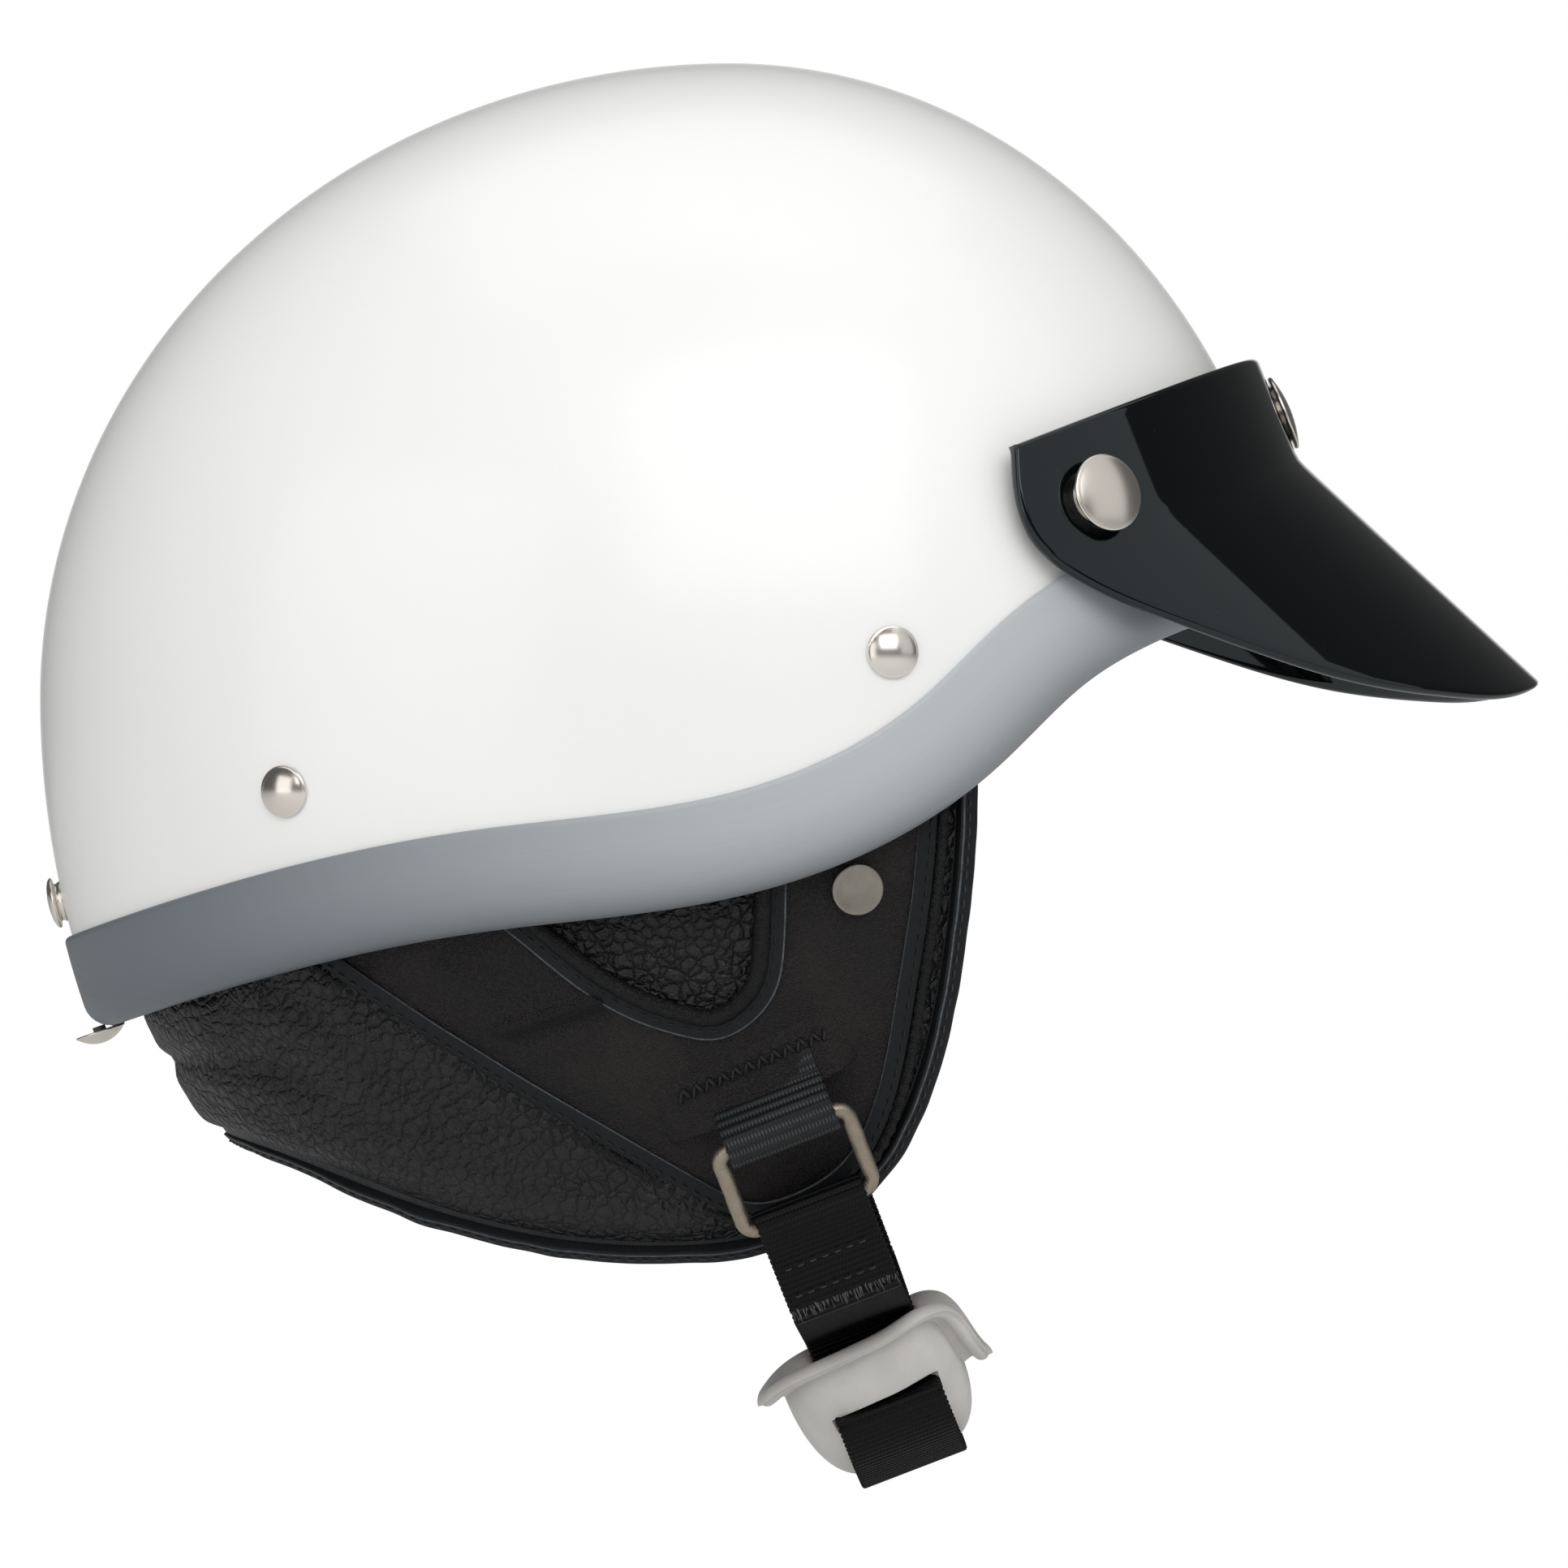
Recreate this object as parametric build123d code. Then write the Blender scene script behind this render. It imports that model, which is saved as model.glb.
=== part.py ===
"""A half shell motorcycle helmet with a studded peak, leather ear and neck curtain, and chin strap with cup.

Millimetres. +X is forward, +Y is the wearer's left and +Z is up.
The origin is the middle of the head: the shell's widest level, under its crown.
"""
from build123d import *
from math import asin, atan2, cos, degrees, radians, sin, sqrt
import os

# Shell: an egg of four quarter ellipsoids that meet under the crown at the widest level
front_reach = 129.5
rear_reach = 157.2
half_width = 114.0
crown_height = 144.5
skirt_depth = 180.0
shell_wall = 4.0

# Fits
seat_gap = 0.2
bore_gap = 0.1
overrun = 30.0

# Rim: its middle line in the side view, as shares of the egg's reach and height, rear to front
rim_shares = (
    (-1.06, -0.400),
    (-0.77, -0.313),
    (-0.357, -0.228),
    (0.059, -0.173),
    (0.223, -0.127),
    (0.387, -0.049),
    (0.553, 0.078),
    (0.721, 0.163),
    (0.971, 0.230),
    (1.15, 0.246),
)
curve_steps = 16

# Edge trim: a rubber channel over the shell's edge
trim_half_height = 11.2
trim_proud = 2.4
trim_lip = 2.2
trim_web = 4.0

# Liner and lining
liner_thickness = 26.0
liner_lift = 7.2
lining_thickness = 3.0
lining_lip = 1.4
sweatband_thickness = 3.0
sweatband_drop = 4.0
sweatband_height = 30.0

# Leather curtain, which hangs inside the trim and draws in towards the neck
curtain_depth = 166.7
curtain_inset = 9.0
curtain_thickness = 5.5
curtain_shares = (
    (-1.0, -0.55),
    (-0.69, -0.578),
    (-0.475, -0.643),
    (-0.237, -0.694),
    (-0.066, -0.701),
    (0.066, -0.687),
    (0.252, -0.609),
    (0.348, -0.49),
    (0.398, -0.341),
    (0.422, -0.182),
    (0.423, 0.05),
)
binding_width = 3.6
binding_proud = 0.9

# Smooth side panel with its stitched strip, and the ear window in it
panel_thickness = 1.8
panel_shares = (
    (-0.72, -0.20),
    (-0.537, -0.322),
    (-0.032, -0.594),
    (0.037, -0.617),
    (0.12, -0.604),
    (0.19, -0.569),
    (0.237, -0.51),
    (0.266, -0.43),
    (0.286, -0.341),
    (0.307, -0.242),
    (0.317, -0.157),
    (0.325, 0.05),
)
strip_width = 3.8
strip_thickness = 1.2
window_shares = (
    (-0.46, -0.20),
    (-0.31, -0.282),
    (-0.202, -0.357),
    (-0.134, -0.391),
    (-0.066, -0.411),
    (-0.02, -0.416),
    (0.037, -0.396),
    (0.079, -0.356),
    (0.093, -0.301),
    (0.096, -0.23),
    (0.096, -0.05),
)
piping_width = 4.5
piping_proud = 0.5
ear_pad_thickness = 1.1

# Round fittings
rivet_radius = 5.8
rivet_rim = 0.8
rivet_crown = 2.6
rivet_shank_radius = 2.2
rivet_tail_radius = 5.0
rivet_tail_thickness = 1.2
rivet_shares = ((0.276, 0.063), (-0.62, -0.118))
rear_stud_share = -0.257
rear_stud_radius = 5.8
rear_stud_neck_radius = 4.6
rear_stud_neck_height = 1.4
rear_stud_rim = 1.0
rear_stud_crown = 2.2
trim_rivet_radius = 5.8
trim_rivet_rim = 0.6
trim_rivet_crown = 2.8
trim_rivet_share = -0.915
curtain_snap_radius = 5.7
curtain_snap_rim = 0.7
curtain_snap_crown = 1.2
curtain_snap_shares = (0.217, -0.236)

# Webbing
webbing_width = 25.0
webbing_thickness = 1.5
hanger_foot_shares = (0.12, -0.15)
hanger_lift = 1.2

# Peak: a band round the forehead that flares into a bill, in a frame tilted back at its top edge
peak_tilt = 21.9
peak_lift = 29.4
peak_wall = 3.2
band_reach = 129.2
band_half_width = 116.0
band_height = 25.0
bill_reach = 163.5
bill_half_width = 121.0
bill_height = 72.0
peak_shares = (
    (0.488, 0.62),
    (0.486, 0.36),
    (0.493, 0.292),
    (0.527, 0.224),
    (0.576, 0.187),
    (0.77, 0.11),
    (0.919, 0.064),
    (1.091, 0.021),
    (1.27, 0.001),
    (1.364, 0.003),
    (1.419, 0.019),
    (1.5, 0.06),
)
snap_radius = 8.7
snap_rim = 1.0
snap_crown = 2.6
snap_barrel_radius = 3.7
snap_barrel_height = 2.2
front_snap_drop = 14.0
side_snap_drop = 17.2
side_snap_forward = 80.8
stud_radius = 4.4

# Chin strap: a frame tilted with the strap, its origin between the rings' top bars
chin_tilt = 21.0
chin_forward = 11.5
chin_drop = 95.7
ring_wire_radius = 1.8
ring_height = 18.6
ring_corner_radius = 3.0
ring_side_play = 0.8
ring_top_out = 92.5
ring_bottom_out = 82.5
fold_gap = 0.45
fold_neck = 9.0
tail_length = 22.0
loop_outer_leg = 11.0
loop_inner_leg = 5.5
loop_lean = 0.7

# Chin cup, an oval bowl with a flange
cup_drop = 57.5
cup_depth = 26.0
cup_half_length = 23.5
cup_half_width = 35.0
cup_wall = 2.4
cup_flange = 3.4
slot_top_drop = 4.8
slot_bottom_drop = 12.2
slot_play = 1.2
wrap_turn = 30.0
strap_snap_radius = 6.2
strap_snap_rim = 0.8
strap_snap_crown = 1.8
strap_snap_share = 0.29

RIGHT = -1
LEFT = 1


def side_point(x_share, z_share):
    """A point of the side view, from shares of the egg's reach and height."""
    reach = front_reach if x_share > 0 else rear_reach
    height = crown_height if z_share > 0 else skirt_depth
    return Vector(x_share * reach, 0, z_share * height)


def quarter_skin(turn):
    """A quarter of a unit ball's surface about Y, turned by so many right angles."""
    edge = Wire([ThreePointArc((0, -1), (1, 0), (0, 1)), Line((0, 1), (0, -1))])
    ball = revolve(make_face(edge), Axis.Y, 90)
    return Rot(0, 90 * turn, 0) * ball.faces().filter_by(GeomType.SPHERE)[0]


def egg(inset=0, depth=skirt_depth):
    """The egg drawn in by inset all round, with its lower half as deep as depth."""
    reaches = (front_reach, rear_reach, rear_reach, front_reach)
    heights = (depth, depth, crown_height, crown_height)
    skins = []
    for turn, (reach, height) in enumerate(zip(reaches, heights)):
        sizes = (reach - inset, half_width - inset, height - inset)
        skins.append(scale(quarter_skin(turn), by=sizes).face())
    return Solid(Shell(skins))


def moved_spline(shares, offset):
    """A side view curve through the shares, moved to its right hand by offset."""
    line = Spline(*[side_point(*pair) for pair in shares])
    if offset == 0:
        return line
    points = []
    for step in range(curve_steps + 1):
        share = step / curve_steps
        ahead = line % share
        points.append(line @ share + Vector(ahead.Z, 0, -ahead.X) * offset)
    return Spline(*points)


def face_over(line):
    """The side view's area above a curve that runs from rear to front."""
    top = crown_height + overrun
    start = line @ 0
    end = line @ 1
    corners = [end, Vector(end.X, 0, top), Vector(start.X, 0, top), start]
    sides = [Line(a, b) for a, b in zip(corners, corners[1:])]
    return make_face(Wire([line, *sides]))


def slab(face, facing=0):
    """A side view face carried through the whole width, or to one side of the middle."""
    width = half_width + overrun
    if facing:
        return extrude(face, width, dir=(0, facing, 0))
    return extrude(face, width, dir=(0, 1, 0), both=True)


def over_rim(lift):
    """All that lies more than lift above the rim's middle line."""
    return slab(face_over(moved_spline(rim_shares, -lift)))


def hanging(shares, grow=0):
    """The side view's area over a hanging outline, grown by so much."""
    return face_over(moved_spline(shares, grow))


def round_head(radius, rim, crown):
    """A domed round head that stands on its plane: a straight rim, then a shallow dome."""
    rise = crown - rim
    dome_radius = (radius**2 + rise**2) / (2 * rise)
    half_turn = asin(radius / dome_radius) / 2
    middle = (dome_radius * sin(half_turn), crown - dome_radius * (1 - cos(half_turn)))
    edge = Wire(
        [
            Line((0, 0), (radius, 0)),
            Line((radius, 0), (radius, rim)),
            ThreePointArc((radius, rim), middle, (0, crown)),
            Line((0, crown), (0, 0)),
        ]
    )
    return revolve(Plane.XZ * make_face(edge), Axis.Z, 360)


def post(radius, bottom, top):
    """A round post on its plane's axis, from one height to another."""
    return Pos(0, 0, bottom) * extrude(Circle(radius), top - bottom)


def side_seat(x, z, facing, inset=0, depth=skirt_depth):
    """The plane that touches the egg at a point of the side view, facing outwards."""
    reach = (front_reach if x > 0 else rear_reach) - inset
    height = (crown_height if z > 0 else depth) - inset
    width = half_width - inset
    y = facing * width * sqrt(1 - (x / reach) ** 2 - (z / height) ** 2)
    outward = Vector(x / reach**2, y / width**2, z / height**2)
    return Plane(origin=(x, y, z), z_dir=outward)


def rear_seat(z):
    """The plane that touches the shell on its middle line at the back."""
    x = -rear_reach * sqrt(1 - (z / skirt_depth) ** 2)
    outward = Vector(x / rear_reach**2, 0, z / skirt_depth**2)
    return Plane(origin=(x, 0, z), z_dir=outward)


def rivet_seats():
    """The shell's four strap rivets, two to a side."""
    points = [side_point(*pair) for pair in rivet_shares]
    return [side_seat(p.X, p.Z, facing) for facing in (RIGHT, LEFT) for p in points]


# Shell and what is fastened to it

liner_inset = shell_wall + seat_gap
lining_inset = liner_inset + liner_thickness
hanger_inset = shell_wall + seat_gap
tail_top = hanger_inset + webbing_thickness + seat_gap
tail_bottom = tail_top + rivet_tail_thickness
lip_top = 0
web_top = trim_web - trim_half_height


def shell():
    """The hard outer shell, drilled for its rivets."""
    wall = (egg() & over_rim(web_top)) - egg(shell_wall)
    hole = post(rivet_shank_radius + bore_gap, -tail_bottom, rivet_crown)
    for seat in rivet_seats():
        wall -= seat * hole
    return wall


def edge_trim():
    """The rubber channel round the rim: outer skin, web under the edge and inner lip."""
    line = moved_spline(rim_shares, trim_half_height)
    over = moved_spline(rim_shares, -trim_half_height)
    ring = egg(-trim_proud) & slab(face_over(line))
    ring -= slab(face_over(over))
    ring -= egg(shell_wall + trim_lip)
    ring -= egg() & over_rim(web_top)
    lip = egg(shell_wall) & over_rim(web_top)
    lip -= over_rim(lip_top)
    lip -= egg(shell_wall + trim_lip)
    return ring + lip


def strap_rivets():
    """Four domed rivets: head outside, shank through the shell and tail inside the webbing."""
    rivet = Pos(0, 0, seat_gap) * round_head(rivet_radius, rivet_rim, rivet_crown)
    rivet += post(rivet_shank_radius, -tail_bottom, seat_gap + rivet_rim)
    rivet += post(rivet_tail_radius, -tail_bottom, -tail_top)
    return [seat * rivet for seat in rivet_seats()]


def hanger_faces(widen=0):
    """The side view of the two webbing legs that run from the rivets to the curtain."""
    foot = side_point(*hanger_foot_shares)
    legs = []
    for pair in rivet_shares:
        top = side_point(*pair)
        along = (foot - top).normalized()
        across = Vector(-along.Z, 0, along.X) * (webbing_width / 2 + widen)
        head = top - along * (rivet_tail_radius + widen)
        corners = [head + across, foot + across, foot - across, head - across]
        sides = [Line(a, b) for a, b in zip(corners, corners[1:] + corners[:1])]
        legs.append(make_face(Wire(sides)))
    return legs


def hanger(facing):
    """One side's webbing: a leg from each rivet, joined above the curtain."""
    outer = egg(hanger_inset) & over_rim(hanger_lift)
    legs = [outer & slab(face, facing) for face in hanger_faces()]
    web = legs[0] + legs[1]
    web -= egg(hanger_inset + webbing_thickness)
    hole = post(rivet_shank_radius + bore_gap, -tail_bottom, rivet_crown)
    for seat in rivet_seats():
        web -= seat * hole
    return web


def impact_liner():
    """The thick crushable liner, with pockets for the webbing and the rivets' tails."""
    foam = (egg(liner_inset) & over_rim(liner_lift)) - egg(lining_inset)
    for face in hanger_faces(seat_gap):
        foam -= slab(face) - egg(tail_top)
    pocket = post(rivet_tail_radius + seat_gap, -tail_bottom - seat_gap, 0)
    for seat in rivet_seats():
        foam -= seat * pocket
    return foam


def lining():
    """The cloth lining: a dome inside the liner and a lip under its edge."""
    lip_inset = curtain_inset + curtain_thickness + binding_proud + seat_gap
    dome = egg(lining_inset) & over_rim(liner_lift - lining_lip)
    under = egg(lip_inset, curtain_depth) & over_rim(liner_lift - lining_lip)
    under -= over_rim(liner_lift)
    return (dome + under) - egg(lining_inset + lining_thickness)


def sweatband():
    """The leather band that goes round the head, inside the lining."""
    inset = lining_inset + lining_thickness + seat_gap
    band = egg(inset) & over_rim(-sweatband_drop)
    band -= over_rim(sweatband_height)
    return band - egg(inset + sweatband_thickness)


# Leather curtain

under_liner = liner_lift - seat_gap
panel_inset = curtain_inset - panel_thickness


def leather(face, outer, inner, facing=0):
    """A layer of the curtain between two insets, tucked under the liner's edge."""
    piece = egg(outer, curtain_depth) & slab(face, facing)
    piece -= over_rim(under_liner)
    return piece - egg(inner, curtain_depth)


def neck_curtain():
    """The padded leather that goes round the neck from ear to ear."""
    face = hanging(curtain_shares, -binding_width)
    return leather(face, curtain_inset, curtain_inset + curtain_thickness)


def curtain_binding():
    """The folded strip that closes the curtain's free edge."""
    face = hanging(curtain_shares) - hanging(curtain_shares, -binding_width)
    outer = curtain_inset - binding_proud
    return leather(face, outer, curtain_inset + curtain_thickness + binding_proud)


def side_panel(facing):
    """The smooth leather over the ear, with its window."""
    face = hanging(panel_shares) - hanging(window_shares)
    return leather(face, panel_inset, curtain_inset, facing)


def panel_strip(facing):
    """The stitched strip round the smooth panel."""
    face = hanging(panel_shares, strip_width) - hanging(panel_shares)
    return leather(face, curtain_inset - strip_thickness, curtain_inset, facing)


def ear_piping(facing):
    """The raised piping inside the ear window's edge."""
    face = hanging(window_shares) - hanging(window_shares, -piping_width)
    return leather(face, panel_inset - piping_proud, curtain_inset, facing)


def ear_pad(facing):
    """The grained leather that shows in the ear window."""
    face = hanging(window_shares, -piping_width)
    return leather(face, curtain_inset - ear_pad_thickness, curtain_inset, facing)


def curtain_snaps():
    """A flat snap at each front corner of the curtain."""
    point = side_point(*curtain_snap_shares)
    head = round_head(curtain_snap_radius, curtain_snap_rim, curtain_snap_crown)
    heads = []
    for facing in (RIGHT, LEFT):
        seat = side_seat(point.X, point.Z, facing, panel_inset, curtain_depth)
        heads.append(seat * (Pos(0, 0, seat_gap) * head))
    return heads


def rear_stud():
    """The stud at the back that keeps a goggle strap."""
    stud = post(rear_stud_neck_radius, 0, rear_stud_neck_height)
    head = round_head(rear_stud_radius, rear_stud_rim, rear_stud_crown)
    stud += Pos(0, 0, rear_stud_neck_height) * head
    return rear_seat(rear_stud_share * skirt_depth) * stud - egg()


def trim_rivet():
    """The domed rivet under the trim's joint at the back."""
    line = moved_spline(rim_shares, trim_half_height + seat_gap)
    x = trim_rivet_share * rear_reach
    share = line.param_at_point(line.intersect(Axis((x, 0, 0), (0, 0, 1))).vertex())
    ahead = line % share
    seat = Plane(origin=line @ share, z_dir=(ahead.Z, 0, -ahead.X))
    return seat * round_head(trim_rivet_radius, trim_rivet_rim, trim_rivet_crown)


# Peak

peak_frame = Location((0, 0, peak_lift), (0, -peak_tilt, 0))


def peak_body(inset):
    """The band's straight wall and the flared bill below it, as one solid form."""
    top = Ellipse(band_reach - inset, band_half_width - inset)
    flare = Ellipse(bill_reach - inset, bill_half_width - inset)
    band = extrude(top, -band_height)
    lower = Pos(0, 0, -band_height) * top
    bill = loft([lower, Pos(0, 0, -band_height - bill_height) * flare])
    return band + bill


def snap_planes():
    """The three snaps, on the band's outside: front, right and left."""
    planes = [Plane(origin=(band_reach, 0, -front_snap_drop), z_dir=(1, 0, 0))]
    x = side_snap_forward
    y = band_half_width * sqrt(1 - (x / band_reach) ** 2)
    for facing in (RIGHT, LEFT):
        outward = (x / band_reach**2, facing * y / band_half_width**2, 0)
        planes.append(Plane(origin=(x, facing * y, -side_snap_drop), z_dir=outward))
    return planes


def peak():
    """The black peak, drilled for its three snaps."""
    body = peak_body(0) - peak_body(peak_wall)
    hole = post(snap_barrel_radius + bore_gap, -2 * peak_wall, peak_wall)
    for plane in snap_planes():
        body -= plane * hole
    return (peak_frame * body) & slab(face_over(moved_spline(peak_shares, 0)))


def snap_caps():
    """The peak's three snap caps, each with its barrel through the wall."""
    cap = post(snap_barrel_radius, seat_gap - peak_wall, snap_barrel_height)
    head = round_head(snap_radius, snap_rim, snap_crown)
    cap += Pos(0, 0, snap_barrel_height) * head
    return [peak_frame * (plane * cap) for plane in snap_planes()]


def snap_studs():
    """The shell's three snap studs, which end just short of the peak."""
    stud = post(stud_radius, -overrun, -peak_wall - 2 * seat_gap)
    return [peak_frame * (plane * stud) - egg() for plane in snap_planes()]


# Chin strap

chin_frame = Location((chin_forward, 0, -chin_drop), (0, -chin_tilt, 0))
ring_lean = degrees(atan2(ring_top_out - ring_bottom_out, ring_height))
fold_radius = ring_wire_radius + fold_gap + webbing_thickness / 2
strap_clear = webbing_thickness / 2 + fold_gap


def ring_place(facing):
    """The middle of a ring's top bar, with Z up along the ring's plane."""
    return chin_frame * Location((0, facing * ring_top_out, 0), (-facing * ring_lean, 0, 0))


def ring(facing):
    """A rectangular wire ring with rounded corners."""
    length = sqrt(ring_height**2 + (ring_top_out - ring_bottom_out) ** 2)
    width = webbing_width + 2 * ring_side_play + 2 * ring_wire_radius
    shape = Pos(0, -length / 2) * RectangleRounded(width, length, ring_corner_radius)
    path = (Plane.XZ * shape).wire()
    section = Plane(origin=path @ 0, z_dir=path % 0) * Circle(ring_wire_radius)
    return ring_place(facing) * sweep(section, path)


def webbing(points, radii):
    """Flat webbing swept along a path of (out, up) points in the strap's own frame."""
    corners = [Vector(0, out, up) for out, up in points]
    path = FilletPolyline(*corners, radius=radii)
    start = Plane(origin=path @ 0, x_dir=(1, 0, 0), z_dir=path % 0)
    return sweep(start * Rectangle(webbing_width, webbing_thickness), path)


def anchor_loop(facing):
    """The short webbing loop that comes out of the panel's slit and holds a ring."""
    out = ring_top_out
    wrap = fold_radius + fold_gap
    points = [
        (-out - wrap + loop_lean, loop_outer_leg),
        (-out - wrap, -wrap),
        (-out + wrap, -wrap),
        (-out + wrap, loop_inner_leg),
    ]
    if facing == LEFT:
        points = [(-y, z) for y, z in points]
    return chin_frame * webbing(points, [fold_radius, fold_radius])


def fold_points():
    """The strap's way round the right ring's lower bar: its tail's end, the fold and the knee."""
    lean = radians(ring_lean)
    down = Vector(0, sin(lean), -cos(lean))
    out = Vector(0, -cos(lean), -sin(lean))
    bar = Vector(0, -ring_bottom_out, -ring_height)
    wrap = fold_radius + fold_gap
    layer = (webbing_thickness + fold_gap) / 2
    return [
        bar + out * layer + down * tail_length,
        bar + out * layer + down * fold_neck,
        bar + out * wrap - down * fold_radius,
        bar - out * wrap - down * fold_radius,
        bar - out * layer + down * fold_neck,
        bar - out * layer + down * (tail_length + fold_neck / 2),
    ]


def cup_corner(turn):
    """A corner of the strap's way round the bowl, between two lines that touch it."""
    reach = 1 / cos(radians(wrap_turn / 2))
    out = (cup_half_width + strap_clear) * cos(radians(turn)) * reach
    drop = (cup_depth + strap_clear) * sin(radians(turn)) * reach
    return (-out, -cup_drop - drop)


def slot_points():
    """The strap's way into the cup's mouth and out through its slot."""
    lip = webbing_width / 2 / (cup_half_length - cup_wall)
    inside = (cup_half_width - cup_wall) * sqrt(1 - lip**2)
    turn = radians(wrap_turn)
    drop = slot_bottom_drop - webbing_thickness / 2
    outside = (cup_half_width + strap_clear) / cos(turn)
    outside *= 1 - drop * sin(turn) / (cup_depth + strap_clear)
    return [
        (-inside + 2 * strap_clear, -cup_drop + fold_gap),
        (-inside + 3 * strap_clear, -cup_drop - slot_top_drop - strap_clear),
        (-outside, -cup_drop - drop),
    ]


def chin_strap():
    """One length of webbing from ring to ring, through the cup's slots and under it."""
    fold = [(point.Y, point.Z) for point in fold_points()]
    under = [cup_corner(1.5 * wrap_turn), cup_corner(2.5 * wrap_turn)]
    half = fold + slot_points() + under
    points = half + [(-y, z) for y, z in reversed(half)]
    tight = [webbing_thickness] * 3
    radii = [fold_radius] * (len(fold) - 1) + tight + [cup_depth] * 2
    return chin_frame * webbing(points, radii + radii[::-1])


def strap_snap():
    """The snap's head on the left tail's outer face."""
    points = fold_points()
    down = (points[0] - points[1]).normalized()
    out = Vector(0, down.Z, -down.Y)
    face = (webbing_thickness / 2 + seat_gap) * out
    place = points[0] - down * (tail_length * strap_snap_share) + face
    seat = Plane(origin=(0, -place.Y, place.Z), z_dir=(0, -out.Y, out.Z))
    head = round_head(strap_snap_radius, strap_snap_rim, strap_snap_crown)
    return chin_frame * (seat * head)


def chin_cup():
    """An oval bowl with a flange round its mouth and a slot in each side for the strap."""
    mouth = Pos(0, 0, -cup_drop)
    sizes = Vector(cup_half_length, cup_half_width, cup_depth)
    bowl = scale(Sphere(1), by=tuple(sizes))
    flange = extrude(Ellipse(sizes.X + cup_flange, sizes.Y + cup_flange), -cup_wall)
    inner = [size - cup_wall for size in sizes]
    cup = bowl + flange - scale(Sphere(1), by=tuple(inner))
    past_cup = 2 * (cup_half_width + overrun)
    cup -= extrude(Rectangle(past_cup, past_cup), cup_depth + overrun)
    slot_height = slot_bottom_drop - slot_top_drop
    slot = Box(webbing_width + 2 * slot_play, past_cup, slot_height)
    cup -= Pos(0, 0, -slot_top_drop - slot_height / 2) * slot
    return chin_frame * (mouth * cup)


def write(name, solids):
    """Writes one node's solids to its file."""
    if isinstance(solids, list):
        solids = Compound(children=[part.solid() for part in solids])
    export_step(solids, os.path.join("parts", f"{name}.step"))


os.makedirs("parts", exist_ok=True)
write("shell", shell())
write("edge_trim", edge_trim())
write("strap_rivets", strap_rivets())
write("impact_liner", impact_liner())
write("lining", lining())
write("sweatband", sweatband())
write("neck_curtain", neck_curtain())
write("curtain_binding", curtain_binding())
write("curtain_snaps", curtain_snaps())
write("rear_stud", rear_stud())
write("trim_rivet", trim_rivet())
write("peak", peak())
write("snap_caps", snap_caps())
write("snap_studs", snap_studs())
for side, facing in (("right", RIGHT), ("left", LEFT)):
    write(f"{side}_hanger", hanger(facing))
    write(f"{side}_side_panel", side_panel(facing))
    write(f"{side}_panel_strip", panel_strip(facing))
    write(f"{side}_ear_piping", ear_piping(facing))
    write(f"{side}_ear_pad", ear_pad(facing))
    write(f"{side}_ring", ring(facing))
    write(f"{side}_anchor_loop", anchor_loop(facing))
write("chin_strap", chin_strap())
write("chin_cup", chin_cup())
write("strap_snap", strap_snap())
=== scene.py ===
import bmesh
import bpy
import numpy as np
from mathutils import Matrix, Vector


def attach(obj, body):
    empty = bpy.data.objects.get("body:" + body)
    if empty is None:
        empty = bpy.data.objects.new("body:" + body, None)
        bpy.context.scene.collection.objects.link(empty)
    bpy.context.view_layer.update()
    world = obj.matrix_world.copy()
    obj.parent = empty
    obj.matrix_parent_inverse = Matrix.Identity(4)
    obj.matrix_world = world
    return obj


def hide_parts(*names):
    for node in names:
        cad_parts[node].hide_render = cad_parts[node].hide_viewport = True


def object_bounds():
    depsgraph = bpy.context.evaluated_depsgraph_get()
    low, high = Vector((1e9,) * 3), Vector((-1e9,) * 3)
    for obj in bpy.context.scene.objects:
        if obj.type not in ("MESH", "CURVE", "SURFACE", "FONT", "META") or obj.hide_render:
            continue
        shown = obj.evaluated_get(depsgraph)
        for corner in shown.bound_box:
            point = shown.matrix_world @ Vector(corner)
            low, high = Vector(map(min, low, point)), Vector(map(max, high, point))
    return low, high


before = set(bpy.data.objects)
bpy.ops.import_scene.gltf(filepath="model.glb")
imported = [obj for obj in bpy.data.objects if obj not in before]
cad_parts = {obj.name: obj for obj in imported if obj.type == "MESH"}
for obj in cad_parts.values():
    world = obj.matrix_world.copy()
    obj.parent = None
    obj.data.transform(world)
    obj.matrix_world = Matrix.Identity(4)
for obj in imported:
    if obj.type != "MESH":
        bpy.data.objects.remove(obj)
cad_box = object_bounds()

# Sizes in millimetres, as on the part: a mesh is brought to metres when it is made
millimetre = 0.001
front_reach, rear_reach = 129.5, 157.2
half_width, crown_height, skirt_depth = 114.0, 144.5, 180.0
shell_wall = 4.0
rim_shares = (
    (-1.06, -0.400), (-0.77, -0.313), (-0.357, -0.228), (0.059, -0.173), (0.223, -0.127),
    (0.387, -0.049), (0.553, 0.078), (0.721, 0.163), (0.971, 0.230), (1.15, 0.246),
)
trim_half_height = 11.2
liner_lift, lining_inset, lining_thickness = 7.2, 30.2, 3.0
sweatband_inset, sweatband_thickness = 33.4, 3.0
sweatband_drop, sweatband_height = 4.0, 30.0

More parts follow.
